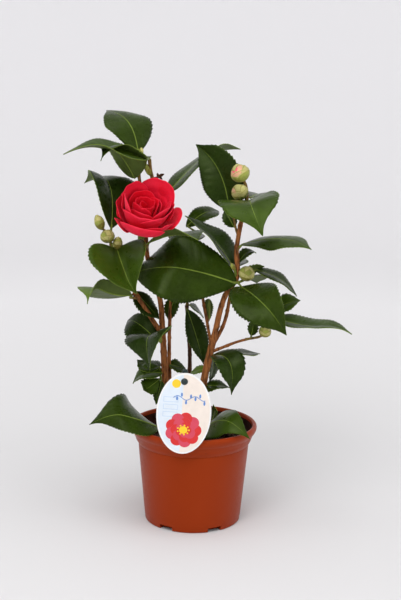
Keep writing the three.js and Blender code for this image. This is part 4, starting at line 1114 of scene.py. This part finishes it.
# Floor, light and camera.
def make_stage():
    """A round sweep: a floor that curves up into a pale wall on every side, painted darker near the middle and
    paler outwards as painted shade.
    """
    pale = principled("sweep_pale", (0.84, 0.83, 0.84), 0.8, Specular_IOR_Level=0.1)
    away = pale.node_tree.nodes.new("ShaderNodeVectorMath")
    away.operation = "LENGTH"
    share = 1 / (SWEEP_RADIUS * MM)
    pale.node_tree.links.new(coordinates(pale.node_tree, (share, share, share)), away.inputs[0])
    # Painted shade: the floor is darker round the middle and grows paler out to the wall, for how the lamps
    # light floor and wall.
    painted_floor_shade = [(0.1, (0.7, 0.695, 0.705)), (0.38, (0.87, 0.865, 0.88)), (0.9, (0.92, 0.915, 0.935))]
    paint(pale, away.outputs["Value"], painted_floor_shade)
    radius, height, bend, top = SWEEP_RADIUS, SWEEP_HEIGHT, SWEEP_BEND, -0.2
    profile = [(0, -30), (radius + 20, -30), (radius + 20, height), (radius, height)]
    for i in range(16, 0, -1):
        a = math.pi / 2 * i / 16
        profile.append((radius - bend + bend * math.sin(a), bend * (1 - math.cos(a)) + top))
    profile += [(radius - bend, top), (0, top)]
    skin = Skin()
    skin.turned(profile, 128)
    floor = bpy.data.objects.new("sweep", skin.mesh("sweep", [pale]))
    bpy.context.scene.collection.objects.link(floor)
    world = bpy.data.worlds.new("studio")
    bpy.context.scene.world = world
    world.use_nodes = True
    background = world.node_tree.nodes["Background"]
    background.inputs["Color"].default_value = (1.0, 0.99, 0.98, 1)
    background.inputs["Strength"].default_value = 0.64

    def softbox(name, place, size, power, target=(0, 0, 0.25)):
        light = bpy.data.lights.new(name, "AREA")
        light.shape = "RECTANGLE"
        light.size, light.size_y = size
        light.energy = power
        obj = bpy.data.objects.new(name, light)
        bpy.context.scene.collection.objects.link(obj)
        obj.location = place
        away = np.array(place) - np.array(target)
        obj.rotation_euler = (math.acos(away[2] / np.linalg.norm(away)), 0, math.atan2(away[0], -away[1]))

    softbox("top", (0, -0.7, 2.6), (1.8, 1.8), 25)
    softbox("key", (-0.7, -1.8, 2.0), (1.2, 1.2), 22)
    softbox("fill", (1.6, -1.2, 1.4), (1.0, 1.0), 4)


def make_camera():
    data = bpy.data.cameras.new("camera")
    data.lens = LENS
    data.sensor_width = 36
    data.clip_start = 0.05
    camera = bpy.data.objects.new("camera", data)
    bpy.context.scene.collection.objects.link(camera)
    back = np.array([0, -math.cos(ELEVATION), math.sin(ELEVATION)])
    level = np.array([1.0, 0, 0])
    upright = np.cross(back, level)
    right = math.cos(ROLL) * level + math.sin(ROLL) * upright
    up = math.cos(ROLL) * upright - math.sin(ROLL) * level
    eye = (np.array(AIM) + DISTANCE * back) * MM
    matrix = np.eye(4)
    matrix[:3, 0], matrix[:3, 1], matrix[:3, 2], matrix[:3, 3] = right, up, back, eye
    camera.matrix_world = Matrix([list(row) for row in matrix])
    bpy.context.scene.camera = camera


make_camera()
make_stage()
make_pot()
make_soil()
make_card()
make_stake()
make_limbs()
make_foliage()
make_bloom()
bpy.context.scene.view_settings.view_transform = "Standard"
